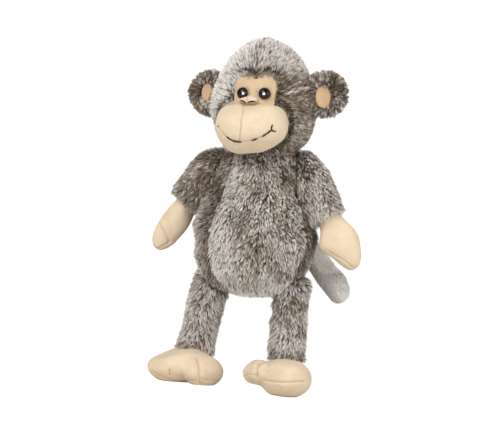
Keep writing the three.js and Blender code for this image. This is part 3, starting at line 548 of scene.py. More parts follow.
def smooth_noise(places, cell, seed):
    table = np.random.default_rng(seed).random(NOISE_TABLE)
    scaled = places / cell + 1000.0
    corner = np.floor(scaled).astype(np.int64)
    share = scaled - corner
    share = share * share * (3 - 2 * share)
    total = np.zeros(len(places))
    for step in range(8):
        bits = np.array([step & 1, step >> 1 & 1, step >> 2 & 1])
        lattice = corner + bits
        key = (lattice * LATTICE_PRIMES).sum(1) & (NOISE_TABLE - 1)
        weight = np.where(bits, share, 1 - share).prod(1)
        total += weight * table[key]
    return total


def unit(vectors):
    return vectors / np.maximum(np.linalg.norm(vectors, axis=1, keepdims=True), 1e-12)


def scatter(obj, count, rng):
    mesh = obj.data
    mesh.calc_loop_triangles()
    corners = np.empty(len(mesh.loop_triangles) * 3, dtype=np.int32)
    mesh.loop_triangles.foreach_get("vertices", corners)
    corners = corners.reshape(-1, 3)
    places, normals = points_of(obj), normals_of(obj)
    edges = places[corners[:, 1:]] - places[corners[:, :1]]
    area = np.linalg.norm(np.cross(edges[:, 0], edges[:, 1]), axis=1) / 2
    share = (np.arange(count) + rng.random(count)) / count
    chosen = corners[np.searchsorted(np.cumsum(area) / area.sum(), share).clip(0, len(area) - 1)]
    first, second = np.sqrt(rng.random(count)), rng.random(count)
    weights = np.stack([1 - first, first * (1 - second), first * second], 1)[:, :, None]
    return (places[chosen] * weights).sum(1), unit((normals[chosen] * weights).sum(1)), area.sum()


def tuft_of(roots, spacing, area, rng):
    count = max(8, int(area / spacing**2))
    chosen = rng.permutation(len(roots))[: min(count, len(roots))]
    tree = KDTree(len(chosen))
    for index, root in enumerate(roots[chosen]):
        tree.insert(root, index)
    tree.balance()
    return chosen, np.array([tree.find(root)[1] for root in roots])


# %% Strands
STRAND_MAP_WIDTH = 1 / 400
FRINGE, HEM_FRINGE = 1.6, 2.4


def trimmed(roots, mids, tips, seats):
    for point, outward in seats:
        fringe = FRINGE + HEM_FRINGE * max(-outward[2], 0)
        inside = fringe * MM - (roots - point) @ outward
        past = np.maximum((tips - roots) @ outward, 1e-9)
        share = np.clip(inside / past, 0.2, 1.0)[:, None]
        mids, tips = roots + (mids - roots) * share, roots + (tips - roots) * share
    return mids, tips


def strand_mesh(name, low_left, low_right, mid_left, mid_right, tips, shades):
    count = len(tips)
    mesh = bpy.data.meshes.new(name)
    mesh.vertices.add(5 * count)
    places = np.stack([low_left, low_right, mid_left, mid_right, tips], 1)
    mesh.vertices.foreach_set("co", places.astype(np.float32).ravel())
    base = (np.arange(count) * 5)[:, None]
    mesh.loops.add(7 * count)
    corners = base + np.array([0, 1, 3, 2, 2, 3, 4])
    mesh.loops.foreach_set("vertex_index", corners.astype(np.int32).ravel())
    mesh.polygons.add(2 * count)
    starts = (np.arange(count) * 7)[:, None] + np.array([0, 4])
    mesh.polygons.foreach_set("loop_start", starts.astype(np.int32).ravel())
    layer = mesh.uv_layers.new(name=PILE_MAP)
    across = np.array([0, 1, 1, 0, 0, 1, 0.5]) * STRAND_MAP_WIDTH
    along = np.broadcast_to(np.array([0, 0, 0.5, 0.5, 0.5, 0.5, 1.0]), (count, 7))
    spread = shades[:, None] * (1 - STRAND_MAP_WIDTH) + across
    layer.data.foreach_set("uv", np.stack([spread, along], 2).astype(np.float32).ravel())
    mesh.update(calc_edges=True)
    mesh.validate()
    strands = bpy.data.objects.new(name, mesh)
    bpy.context.scene.collection.objects.link(strands)
    return strands


def map_backing(skin):
    layer = skin.data.uv_layers.new(name=PILE_MAP)
    count = len(skin.data.loops)
    corner = np.arange(count) % 4
    strip = np.stack([0.3 + 0.02 * (corner % 3 == 1), 0.03 * (corner >= 2)], 1)
    layer.data.foreach_set("uv", strip.astype(np.float32).ravel())


# %% Growing the pile of one piece
PLUSH_DEPTH = 5.0
ROOT_REACH = 2.6
TONE_SPREAD = 0.36


def no_spill(places):
    return 0.0


def along_line(direction):
    def flow(places):
        return np.broadcast_to(direction, places.shape) + 0.0 * places

    return flow


def rooted(skin, cover, count, rise, seats, spill, rng):
    roots, normals, area = scatter(skin, count, rng)
    outer = roots + along_seats(roots, normals * rise * MM, seats)
    away = np.array([cover.find_nearest(place)[3] for place in outer])
    kept = away < (ROOT_REACH + spill(roots)) * MM
    return roots[kept], normals[kept], area


def leaning(roots, normals, flow, lean, seed, rng):
    brushed = flow(roots)
    brushed = unit(brushed - (brushed * normals).sum(1, keepdims=True) * normals)
    sideways = np.cross(normals, brushed)
    wide_sway = smooth_noise(roots, 14 * MM, seed + 1) - 0.5
    fine_sway = 0.9 * (smooth_noise(roots, 5 * MM, seed + 2) - 0.5)
    sway = wide_sway + fine_sway + rng.normal(0, 0.15, len(roots))
    brushed = brushed * np.cos(sway)[:, None] + sideways * np.sin(sway)[:, None]
    tilt = np.radians(lean) * (0.75 + 0.5 * smooth_noise(roots, 11 * MM, seed + 3))
    tilt = np.clip(tilt + rng.normal(0, 0.14, len(roots)), 0.1, 1.45)[:, None]
    lower = normals * np.cos(tilt * 0.7) + brushed * np.sin(tilt * 0.7)
    upper = normals * np.cos(tilt * 1.2) + brushed * np.sin(tilt * 1.2)
    return lower, upper


def grow_pile(
    skin,
    node,
    seed,
    count,
    flow,
    shade,
    seats,
    length=8.5,
    lean=48,
    spacing=1.8,
    width=0.4,
    rise=PLUSH_DEPTH,
    spill=no_spill,
):
    rng = np.random.default_rng(seed)
    cover = surface_tree(frame["nodes"][node])
    roots, normals, area = rooted(skin, cover, count, rise, seats, spill, rng)
    lower, upper = leaning(roots, normals, flow, lean, seed, rng)
    reach = (length * MM * rng.uniform(0.72, 1.1, len(roots)))[:, None]
    mids = roots + lower * reach * 0.5
    tips = mids + upper * reach * 0.5

    chosen, tuft = tuft_of(roots, spacing * MM, area, rng)
    draw = rng.uniform(0.5, 0.95, len(roots))[:, None]
    tips = tips + (tips[chosen][tuft] - tips) * draw
    mids = mids + (mids[chosen][tuft] - mids) * draw * 0.4
    mids, tips = trimmed(roots, mids, tips, seats)

    tones = shade(roots) + rng.normal(0, TONE_SPREAD, len(roots))
    tones = tones + rng.normal(0, TONE_SPREAD, len(chosen))[tuft]
    across = unit(np.cross(lower, normals + rng.normal(0, 0.35, normals.shape)))
    half = (width * MM / 2 * rng.uniform(0.7, 1.25, len(roots)))[:, None] * across
    ends = [roots - half, roots + half, mids - half * 0.8, mids + half * 0.8, tips]
    strands = strand_mesh(skin.name + "_strands", *ends, np.clip(tones, 0.01, 0.98))
    map_backing(skin)
    pick(skin)
    strands.select_set(True)
    bpy.ops.object.join()
    correct(skin)
    print(skin.name, len(roots), "strands")


# %% [markdown]
# ## Seats of the joints
# The pile needs to know where each limb turns. The frame's joints give the places and the directions.

# %% Seats
def place_of(name):
    return np.array(joints[name]["pos_m"])


def axis_of(name):
    return np.array(joints[name]["axis"])


def seat_of(name, side):
    axis = axis_of(name)
    return place_of(name), axis * (1 if axis[0] * SIDES[side] > 0 else -1)


UP, DOWN = np.array([0, 0, 1.0]), np.array([0, 0, -1.0])
FORWARDS, REARWARDS = np.array([0, -1.0, 0]), np.array([0, 1.0, 0])
neck = place_of("neck_turn")
tail_root = place_of("tail_wag")
shoulder = {side: seat_of(f"{side}_shoulder_swing", side) for side in SIDES}
hip = {side: seat_of(f"{side}_hip_swing", side) for side in SIDES}
ankle = {side: place_of(f"{side}_ankle_turn") for side in SIDES}
wrist = {}
for side in SIDES:
    wrist[side] = (place_of(f"{side}_wrist_twist"), axis_of(f"{side}_wrist_twist"))
print("seats: neck", neck.round(3), "tail", tail_root.round(3))

# %% [markdown]
# ## Torso
# The belly panel and the back panel meet at two side seams. Both are cut from one soft form, so that they
# share its roundness, and the pile is brushed downwards with a few ruffled hollows. Painted shade darkens
# those hollows and the sides beyond the seams, more on the toy's left, and painted light brightens the
# toy's right half of the belly, towards the window lamp.

# %% Torso shades
BELLY_TURN, BELLY_SPAN = math.radians(18), math.radians(114)
TORSO_TONE, TORSO_PATCHES, TORSO_DIM = 0.8, 1.35, 0.25
SIDE_PAINTED_SHADE, PAINTED_SHADE_LEAN, SEAM_DARK, SEAM_WIDTH = 0.47, 0.1, 0.45, 0.06
HOLLOW_PAINTED_SHADE, LIT_SIDE_PAINTED_LIGHT, LOW_PALE, CHEST_DARK = 0.5, 0.62, 0.36, 0.12
HOLLOW_SPOTS = [
    ((235, 225), 7),
    ((258, 245), 10),
    ((287, 179), 10),
    ((236, 263), 7),
    ((262, 190), 8),
    ((245, 160), 8),
]
spine = np.array([neck[0], neck[1] - 3 * MM])
belly_tree = surface_tree(frame["nodes"]["torso_front_panel"])
hollows = []
for spot, reach in HOLLOW_SPOTS:
    hollows.append((np.array(belly_tree.ray_cast(*sight(*spot))[0]), reach))


def belly_angle(places):
    away = places[:, :2] - spine
    angle = np.arctan2(away[:, 0], -away[:, 1]) - BELLY_TURN
    return np.abs((angle + math.pi) % (2 * math.pi) - math.pi)


def torso_shade(places):
    past_seam = belly_angle(places) - BELLY_SPAN / 2
    side = past_seam > 0
    patches = smooth_noise(places, 19 * MM, 41) * 0.6 + smooth_noise(places, 8 * MM, 42) * 0.4
    tone = TORSO_TONE + TORSO_PATCHES * (patches - 0.5)
    # Painted shade in a few ruffled hollows of the pile.
    for spot, reach in hollows:
        tone = tone - HOLLOW_PAINTED_SHADE * hump(np.linalg.norm(places - spot, axis=1), reach * MM)
    # Painted shade on the sides beyond the seams, deeper on the toy's left, away from the window lamp.
    near_front = np.clip(1.5 - past_seam / 0.6, 0.25, 1)
    tone = tone - (SIDE_PAINTED_SHADE + PAINTED_SHADE_LEAN * np.sign(places[:, 0])) * side * near_front
    tone = tone - SEAM_DARK * hump(past_seam, SEAM_WIDTH)
    # Painted light on the toy's right half of the belly, towards the window lamp.
    lit_side = np.clip((2 * MM - places[:, 0]) / (24 * MM), 0, 1) * ~side
    low = np.clip((130 * MM - places[:, 2]) / (30 * MM), 0, 1)
    chest = np.clip((places[:, 2] - neck[2] + 26 * MM) / (20 * MM), 0, 1)
    return tone + LIT_SIDE_PAINTED_LIGHT * lit_side + LOW_PALE * low - CHEST_DARK * chest - TORSO_DIM


# %% Torso pieces
TORSO_NODES = ["torso_front_panel", "torso_back_panel", "torso_filling"]
TORSO_STRANDS = {"front": 62000, "back": 56000}
torso_seats = [(neck, UP), (tail_root, REARWARDS)]
torso_seats += [shoulder[side] for side in SIDES] + [hip[side] for side in SIDES]
for half, count in TORSO_STRANDS.items():
    node = f"torso_{half}_panel"
    in_front = half == "front"
    skin = soft_form(f"torso_{half}_plush", TORSO_NODES, voxel=3.0, rounds=7)
    draw_in(skin, PLUSH_DEPTH, torso_seats)
    keep_faces(skin, (belly_angle(face_middles(skin)) < BELLY_SPAN / 2) == in_front)
    grow_pile(skin, node, 11 + in_front, count, along_line(DOWN), torso_shade, torso_seats, lean=46)
    dress(skin, "torso", [node], frosted_plush)

# %% [markdown]
# ## Head
# Two side panels meet along the crown. The pile is brushed away from the face on every side, so the dark
# roots frame the velboa, and a darker parting follows the seam. Painted light brightens the crown on the
# toy's right, towards the window lamp, and painted shade darkens the toy's left cheek and, with the dark
# roots, the pile over the brow.

# %% Head directions
HEAD_TILT = math.radians(5)
FACE_MIDDLE = np.array([1.0, -62, 56])
head_turn = np.array(Matrix.Rotation(HEAD_TILT, 3, Vector((0, -1, 0))))


def to_head(places):
    return (places - neck) @ head_turn / MM


def away_from_face(places):
    local = to_head(places)
    away = local - FACE_MIDDLE
    away[:, 2] += 14 * (local[:, 2] > 60) - 10 * (local[:, 2] < 35)
    return away @ head_turn.T


def to_line(places, line):
    tree = KDTree(len(line))
    for index, place in enumerate(line):
        tree.insert(place, index)
    tree.balance()
    return np.array([tree.find(place)[2] for place in places])


print("head tilt", round(math.degrees(HEAD_TILT)), "degrees")

# %% Head shades
CHEEK_START, CHEEK_RUN = np.array([286, 93.5]), np.array([24, -5])
LINE_PALE, LINE_DARK, LINE_REACH = 1.3, 0.5, 6.5
HEAD_TONE, HEAD_PATCHES, PARTING_DARK, NECK_DARK = 0.7, 0.95, 0.4, 0.12
CHEEK_PAINTED_SHADE, CROWN_PAINTED_LIGHT, BROW_ROOTS_AND_SHADE = 0.68, 0.5, 0.25
cheek_sights = [sight(*(CHEEK_START + CHEEK_RUN * share)) for share in np.linspace(0, 1, 40)]
cheek_tree = surface_tree(frame["nodes"]["head_left_panel"])
cheek_hits = [cheek_tree.ray_cast(*ray)[0] for ray in cheek_sights]
cheek_line = np.array([hit for hit in cheek_hits if hit is not None])


def cheek_seam(places):
    start, along = (np.array(v) for v in cheek_sights[0])
    across = np.cross(np.array(cheek_sights[-1][1]), along)
    across = across * np.sign(across[2]) / np.linalg.norm(across)
    above = (places - start) @ across / MM
    line = LINE_PALE * hump(above, 1.3) - LINE_DARK * hump(above + 4.2, 2.2)
    return line * (to_line(places, cheek_line) < LINE_REACH * MM)


def head_shade(places):
    local = to_head(places)
    patches = smooth_noise(places, 15 * MM, 51) * 0.6 + smooth_noise(places, 6 * MM, 52) * 0.4
    tone = HEAD_TONE + HEAD_PATCHES * (patches - 0.5)
    parting = hump(local[:, 0], 2.4) * (local[:, 2] > 60)
    low = np.clip((50 - local[:, 2]) / 40, 0, 1)
    # Painted shade on the toy's left cheek, away from the window lamp.
    shaded_cheek = np.clip((local[:, 0] - 8) / 20, 0, 1) * np.clip((88 - local[:, 2]) / 20, 0, 1)
    # Painted light on the crown of the toy's right, towards the window lamp.
    lit_side = np.clip((-local[:, 0] - 2) / 20, 0, 1) * np.clip((local[:, 2] - 50) / 20, 0, 1)
    # Over the brow the pile is darkened, partly for its dark roots and partly as painted shade where it overhangs
    # the patch.
    brow = np.clip((84 - local[:, 2]) / 12, 0, 1) * (local[:, 2] > 70) * (local[:, 1] < -20)
    tone = tone - PARTING_DARK * parting - NECK_DARK * low - CHEEK_PAINTED_SHADE * shaded_cheek
    return tone + CROWN_PAINTED_LIGHT * lit_side - BROW_ROOTS_AND_SHADE * brow + cheek_seam(places)


# %% Head pieces
HEAD_NODES = ["head_left_panel", "head_right_panel", "head_filling", "face_patch"]
BROW_SPILL, NOTCH_SPILL, ARCH_SPILL = 2.0, 9.5, 6.6
NOTCH_ASIDE, NOTCH_WIDTH = 9, 5.5
eye_boxes = np.array([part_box(f"{side}_eye") for side in SIDES])
eye_middle = to_head(eye_boxes.reshape(-1, 3).mean(0)[None])[0, 0]


def over_brow(places):
    local = to_head(places)
    from_notch = local[:, 0] - eye_middle + NOTCH_ASIDE
    arch = ARCH_SPILL * np.clip(from_notch / 5, 0, 1)
    spill = BROW_SPILL + NOTCH_SPILL * hump(from_notch, NOTCH_WIDTH) + arch
    return spill * np.clip((local[:, 2] - 66) / 8, 0, 1) * (local[:, 1] < 0)


head_seats = [(neck, DOWN)]
for side, sign in SIDES.items():
    node = f"head_{side}_panel"
    skin = soft_form(f"head_{side}_plush", HEAD_NODES, voxel=3.0, rounds=7)
    draw_in(skin, PLUSH_DEPTH, head_seats)
    keep_faces(skin, to_head(face_middles(skin))[:, 0] * sign >= 0)
    grow_pile(skin, node, 21 + sign, 54000, away_from_face, head_shade, head_seats, spill=over_brow)
    dress(skin, "head", [node], frosted_plush)

# %% [markdown]
# ## Ears, sleeves, legs and tail
# These use the same steps. The ears are brushed outwards from their middles, the sleeves towards their
# hems, the legs towards the ankles, and the tail, of a shorter and plainer pile, towards its tip.

# %% Ear and limb shades
LIMB_TONE, HEM_BAND = 0.74, 14
EAR_TONE, RIM_PALE, EAR_PATCHES = -0.08, 0.5, 0.5


def limb_shade(dark, hem=tail_root, along=UP, hem_tone=0.0):
    def shade(places):
        patches = smooth_noise(places, 14 * MM, 61) * 0.6 + smooth_noise(places, 6 * MM, 62) * 0.4
        at_hem = np.clip(1 + ((places - hem) @ along) / (HEM_BAND * MM), 0, 1)
        return LIMB_TONE - dark + (patches - 0.5) + hem_tone * at_hem

    return shade


def ear_shade(middle):
    def shade(places):
        # The pile darkens towards the lining, partly for its dark roots and partly as painted shade in the hollow
        # of the ear.
        away = np.linalg.norm((places - middle)[:, [0, 2]], axis=1)
        rim = np.clip((away - 13 * MM) / (12 * MM), 0, 1)
        patches = smooth_noise(places, 9 * MM, 63)
        return EAR_TONE + RIM_PALE * rim + EAR_PATCHES * (patches - 0.5)

    return shade


# %% Ear, sleeve and leg pieces
EAR_DEPTH = 4.0
SLEEVE_DARK, LEG_DARK = {"left": 0.22, "right": 0.6}, 0.18


def ear_piece(side):
    node = f"{side}_ear"
    ear_low, ear_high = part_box(node)
    ear_middle = (np.array(ear_low) + np.array(ear_high)) / 2
    skin = soft_form(f"{side}_ear_plush", [node, f"{side}_ear_lining"], voxel=2.0, rounds=8)
    draw_in(skin, EAR_DEPTH, seats=[])
    grow_pile(
        skin,
        node,
        31 + SIDES[side],
        24000,
        lambda places: places - ear_middle,
        ear_shade(ear_middle),
        seats=[],
        length=7.5,
        lean=44,
        spacing=2.1,
        width=0.42,
        rise=EAR_DEPTH,
    )
    dress(skin, f"{side}_ear", [node], frosted_plush)


def sleeve_piece(side):
    point, outward = shoulder[side]
    nodes = [f"{side}_arm_cover", f"{side}_arm_filling"]
    seats = [(point, -outward)]
    skin = soft_form(f"{side}_sleeve_plush", nodes, voxel=2.6, rounds=6)
    draw_in(skin, PLUSH_DEPTH, seats)
    shade = limb_shade(SLEEVE_DARK[side], *wrist[side], hem_tone=0.15)
    grow_pile(skin, nodes[0], 41 + SIDES[side], 34000, along_line(wrist[side][1]), shade, seats)
    dress(skin, f"{side}_arm", [nodes[0]], frosted_plush)


def leg_piece(side):
    point, outward = hip[side]
    nodes = [f"{side}_leg_cover", f"{side}_leg_filling"]
    seats = [(point, -outward), (ankle[side], DOWN)]
    skin = soft_form(f"{side}_leg_plush", nodes, voxel=2.6, rounds=6)
    draw_in(skin, PLUSH_DEPTH, seats)
    down_leg = unit((ankle[side] - point)[None])[0]
    shade = limb_shade(LEG_DARK, ankle[side], DOWN, hem_tone=-0.25)
    grow_pile(skin, nodes[0], 51 + SIDES[side], 36000, along_line(down_leg), shade, seats)
    dress(skin, f"{side}_leg", [nodes[0]], frosted_plush)


for side in SIDES:
    ear_piece(side)
    sleeve_piece(side)
    leg_piece(side)

# %% Tail piece
TAIL_DEPTH, TAIL_DARK = 3.2, -0.05
TAIL_START, TAIL_END = np.array([1.0, 0.1, -0.1]), np.array([0.5, 0, -0.85])


def to_tail_tip(places):
    bend = np.clip((places[:, :1] - tail_root[0] - 25 * MM) / (45 * MM), 0, 1)
    return (1 - bend) * TAIL_START + bend * TAIL_END


tail_seats = [(tail_root, FORWARDS)]
skin = soft_form("tail_plush_cover", ["tail_cover", "tail_filling"], voxel=2.4, rounds=8)
draw_in(skin, TAIL_DEPTH, tail_seats)
grow_pile(
    skin,
    "tail_cover",
    71,
    40000,
    to_tail_tip,
    limb_shade(TAIL_DARK),
    tail_seats,
    length=4.0,
    lean=54,
    spacing=2.2,
    width=0.42,
    rise=TAIL_DEPTH,
)
dress(skin, "tail", ["tail_cover"], tail_plush)

# %% [markdown]
# ## Seams in velboa
# The face, hands and feet are firm, short-napped forms, and what gives them away as sewn is the seams. A
# seam is a line on the cloth: the surface dips along it and the dye looks deeper. Lines seen in the
# photograph are given as picture points and dropped onto the form along the line of sight.

# %% Seam helpers
def smooth_line(points, step=0.4):
    points = np.array(points, dtype=float)
    ends = np.vstack([2 * points[0] - points[1], points, 2 * points[-1] - points[-2]])
    line = []
    for before, first, second, after in zip(ends, ends[1:], ends[2:], ends[3:]):
        pull = second - before
        swing = 2 * before - 5 * first + 4 * second - after
        twist = 3 * first - before - 3 * second + after
        count = max(2, int(np.linalg.norm(second - first) / step))
        for share in np.arange(count) / count:
            bend = 2 * first + pull * share + swing * share**2
            line.append((bend + twist * share**3) / 2)
    return np.array(line + [points[-1]])


def seen_on(piece, *points):
    tree = surface_tree(piece)
    hits = [tree.ray_cast(*sight(x, y))[0] for x, y in smooth_line(points)]
    return np.array([hit for hit in hits if hit is not None])


def mark(piece, amount):
    layer = piece.data.attributes.get(SEAM_AND_SHADE) or piece.data.attributes.new(SEAM_AND_SHADE, "FLOAT", "POINT")
    before = np.empty(len(amount))
    layer.data.foreach_get("value", before)
    layer.data.foreach_set("value", np.maximum(before, amount).astype(np.float32))


def press_in(piece, away, depth, width, tone):
    dip = hump(away, width * MM)
    set_points(piece, points_of(piece) - normals_of(piece) * (dip * depth * MM)[:, None])
    mark(piece, tone * hump(away, 0.65 * width * MM))


def carve(piece, line, depth, width, tone):
    press_in(piece, to_line(points_of(piece), line), depth, width, tone)


# %% [markdown]
# ## Muzzle
# Two upper panels meet at a seam under the nose, and a chin panel closes the form from below along the
# mouth. One soft form gets all its seams and is then cut into the three panels along them.

# %% Muzzle form
MUZZLE_NODES = ["muzzle_left_panel", "muzzle_right_panel", "muzzle_chin_panel"]
FACE_NODES = ["face_patch", "head_left_panel", "head_right_panel"]
FACE_BAND, FACE_SINK = 4, 4.5
face_side = [surface_tree(frame["nodes"][node]) for node in FACE_NODES]


def off_face(places):
    return np.array([min(tree.find_nearest(place)[3] for tree in face_side) for place in places])


def at_face(places):
    return off_face(places) < FACE_BAND * MM


muzzle_solids = MUZZLE_NODES + ["muzzle_filling"]
muzzle = soft_form("muzzle_form", muzzle_solids, 3.0, 6, finer=2, swell=-1.2, held=at_face)
places = points_of(muzzle)
into_face = np.array([0, FACE_SINK * MM, 0])
set_points(muzzle, places + hump(off_face(places), FACE_BAND * MM)[:, None] * into_face)
correct(muzzle)

# %% Muzzle seams
UNDER_NOSE = (248, 106)
MIDDLE_SEAM = [(244.3, 101), (243.8, 104.5), (241, 122), (239.6, 140.8)]
MOUTH_LINE = [
    (218.3, 126.5),
    (221.5, 132),
    (226.7, 136.8),
    (232, 140.3),
    (241.4, 142),
    (250, 141),
    (257, 138.6),
    (262, 136.6),
    (271.7, 130),
]
CHIN_SEAM = [(239.6, 141), (239.4, 153)]
CHIN_FOLD = [(228, 148), (240, 151), (256, 150.5)]
under_nose = np.array(surface_tree(muzzle).ray_cast(*sight(*UNDER_NOSE))[0])
from_nose = np.linalg.norm(points_of(muzzle) - under_nose, axis=1)
press_in(muzzle, from_nose, depth=2.0, width=10.0, tone=0.0)
middle_seam = seen_on(muzzle, *MIDDLE_SEAM)
mouth = seen_on(muzzle, *MOUTH_LINE)
carve(muzzle, middle_seam, 0.9, 1.3, 0.6)
carve(muzzle, middle_seam[len(middle_seam) // 2 :], 0.4, 1.1, 1.0)
carve(muzzle, mouth, 0.9, 1.4, 0.5)
carve(muzzle, seen_on(muzzle, *CHIN_SEAM), 0.5, 1.2, 0.3)
carve(muzzle, seen_on(muzzle, *CHIN_FOLD), 0.6, 1.8, 0.3)
# Painted shade: the velboa darkens where it faces downwards, under the muzzle.
mark(muzzle, 0.25 * np.clip(-0.1 - normals_of(muzzle)[:, 2], 0, 1))

# %% Muzzle panels
seam_line, mouth_line = to_head(middle_seam), to_head(mouth)
mouth_line = mouth_line[np.argsort(mouth_line[:, 0])]
for node in MUZZLE_NODES:
    panel = muzzle.copy()
    panel.data = muzzle.data.copy()
    panel.name = panel.data.name = node.replace("panel", "velboa")
    bpy.context.scene.collection.objects.link(panel)
    middles = to_head(face_middles(panel))
    lower = middles[:, 2] < np.interp(middles[:, 0], mouth_line[:, 0], mouth_line[:, 2])
    on_left = middles[:, 0] >= np.interp(middles[:, 2], seam_line[::-1, 2], seam_line[::-1, 0])
    kept = {"left": ~lower & on_left, "right": ~lower & ~on_left, "chin": lower}
    keep_faces(panel, kept[node.split("_")[1]])
    dress(panel, "head", [node], cream_velboa)
    print(panel.name, len(panel.data.polygons), "faces")

# %% [markdown]
# ## Face patch and nose
# The patch is one flat-cut piece that follows the head, with the notch between the brows. The nose is a
# small pad with two lobes. Both only need an even mesh, a soft edge and the dents that the eyes press, and
# the patch gets a ring of painted shadow round each eye.

# %% Face patch and nose
EYE_RADIUS, EYE_DOME, SHANK_RADIUS, SHANK_LENGTH = 6.3, 5.0, 2.0, 11.0
DENT_RADIUS = 6.8
HEM_DROP, HEM_RISE = 5, 6
NOSE_CLEFT = [(247.2, 94), (247.3, 98), (247, 104)]


def eye_place(side):
    places = points_of(frame["nodes"][f"{side}_eye"])
    centre = places.mean(0)
    axis = np.linalg.svd(places - centre, full_matrices=False)[2][0]
    axis = axis * -np.sign(axis[1])
    top = ((places - centre) @ axis).max()
    return centre + axis * (top - EYE_DOME * MM), axis


patch = soft_form("face_patch_velboa", ["face_patch"], 0.8, 5, finer=1)
local = to_head(points_of(patch))
hem = np.clip((local[:, 2].min() + HEM_RISE - local[:, 2]) / HEM_RISE, 0, 1)
set_points(patch, points_of(patch) - np.array([0, 0, HEM_DROP * MM]) * hem[:, None])
# Each eye presses a dent into the patch, and a ring of painted shadow darkens the velboa round it.
for side in SIDES:
    brim = eye_place(side)[0]
    away = np.abs(np.linalg.norm(points_of(patch) - brim, axis=1) - DENT_RADIUS * MM)
    press_in(patch, away, 0.5, 1.3, 0.45)
dress(patch, "head", ["face_patch"], patch_velboa)

nose = correct(soft_form("nose_velboa", ["nose_pad"], 0.8, 6, finer=1))
carve(nose, seen_on(nose, *NOSE_CLEFT), 1.2, 1.6, 0.25)
dress(nose, "head", ["nose_pad"], cream_velboa)
print(patch.name, nose.name)

# %% [markdown]
# ## Stitches
# The smile is embroidered in short satin stitches, so parts of the line are dark and parts are only the
# seam. Each stitch is a curve that tapers to its ends, given a round section and then made a mesh.

# %% Mouth and nostril stitches
MOUTH_STITCHES = [
    [(217.8, 125.8), (218.4, 127)],
    [(226.5, 136.4), (228.6, 138.3), (231.2, 140)],
    [(230.6, 139.8), (235, 141.6), (241.8, 142.1)],
    [(251.6, 140.7), (254.3, 139.9), (257.2, 138.5)],
    [(262.2, 136.8), (264.6, 135.2), (266.6, 133.9)],
    [(266.2, 134.2), (269, 132.2), (271.9, 129.6)],
    [(271.5, 129.8), (271.6, 127.2), (272.7, 124.6)],
    [(271.4, 129.8), (273.4, 131.2), (276.2, 131.3)],
]
NOSTRIL_STITCH = {
    "right": [(239.8, 100.4), (242.4, 101), (245.6, 102.8)],
    "left": [(248, 102.4), (250.8, 101.6), (255.4, 101.4)],
}
MOUTH_THICK, NOSTRIL_THICK = 1.7, 1.8


def stitched(name, base, lines, thick, node):
    curve = bpy.data.curves.new(name, "CURVE")
    curve.dimensions = "3D"
    curve.bevel_depth = thick / 2 * MM
    curve.bevel_resolution = 3
    curve.use_fill_caps = True
    for line in lines:
        places = seen_on(base, *line) + np.array(backward) * 0.35 * thick * MM
        spline = curve.splines.new("POLY")
        spline.points.add(len(places) - 1)
        weighted = np.column_stack([places, np.ones(len(places))])
        spline.points.foreach_set("co", weighted.astype(np.float32).ravel())
        taper = np.sin(np.linspace(0.25, math.pi - 0.25, len(places))) ** 0.5
        spline.points.foreach_set("radius", taper.astype(np.float32))
    piece = bpy.data.objects.new(name, curve)
    bpy.context.scene.collection.objects.link(piece)
    pick(piece)
    bpy.ops.object.convert(target="MESH")
    bpy.ops.object.shade_smooth()
    dress(piece, "head", [node], dark_thread)
    print(name, len(lines), "stitches")


stitched("mouth_stitches", muzzle, MOUTH_STITCHES, MOUTH_THICK, "mouth_thread")
for side, line in NOSTRIL_STITCH.items():
    stitched(f"{side}_nostril_stitch", nose, [line], NOSTRIL_THICK, f"{side}_nostril_thread")
bpy.data.objects.remove(muzzle)

# %% [markdown]
# ## Eyes
# A safety eye is a turned button: a glossy dome on a ribbed shank that a washer locks from behind. Half its
# section is drawn as a line of edges and spun round the axis that the CAD eye gives.

# %% Eyes and washers
for side in SIDES:
    brim, axis = eye_place(side)
    angles = np.linspace(math.pi / 2, 0, 15)
    arc = [(EYE_RADIUS * math.cos(angle), EYE_DOME * math.sin(angle)) for angle in angles]
    back = [(EYE_RADIUS - 0.3, -0.35), (SHANK_RADIUS, -0.4)]
    ribs = [(SHANK_RADIUS - 0.3 * (step % 2), -1 - step) for step in range(10)]
    profile = arc + back + ribs + [(0.0, -SHANK_LENGTH)]
    mesh = bpy.data.meshes.new(f"{side}_eye_button")
    edges = [(step, step + 1) for step in range(len(profile) - 1)]
    mesh.from_pydata([(radius * MM, 0, height * MM) for radius, height in profile], edges, [])
    button = bpy.data.objects.new(mesh.name, mesh)
    bpy.context.scene.collection.objects.link(button)
    pick(button)
    bpy.ops.object.mode_set(mode="EDIT")
    bpy.ops.mesh.select_all(action="SELECT")
    bpy.ops.mesh.spin(steps=48, angle=2 * math.pi, center=(0, 0, 0), axis=(0, 0, 1))
    bpy.ops.mesh.select_all(action="SELECT")
    bpy.ops.mesh.remove_doubles(threshold=1e-6)
    bpy.ops.mesh.normals_make_consistent(inside=False)
    bpy.ops.object.mode_set(mode="OBJECT")
    bpy.ops.object.shade_smooth()
    layer = mesh.attributes.new(EYE_RING, "FLOAT", "POINT")
    flat = points_of(button)
    share = np.linalg.norm(flat[:, :2], axis=1) / (EYE_RADIUS * MM)
    layer.data.foreach_set("value", np.where(flat[:, 2] > -0.1 * MM, share, 0).astype(np.float32))
    eye_turn = Vector((0, 0, 1)).rotation_difference(Vector(axis)).to_matrix()
    set_points(button, flat @ np.array(eye_turn).T + brim)
    dress(button, "head", [f"{side}_eye"], eye_gloss)
    washer = frame["nodes"][f"{side}_eye_washer"]
    washer.data.materials.clear()
    washer.data.materials.append(washer_plastic)
    print(button.name, "axis", axis.round(2))

# %% [markdown]
# ## Ear linings
# Each ear is faced with a small piece of tan velboa, dished so that the pile of the rim stands round it,
# and darkened towards its edge with painted shade.

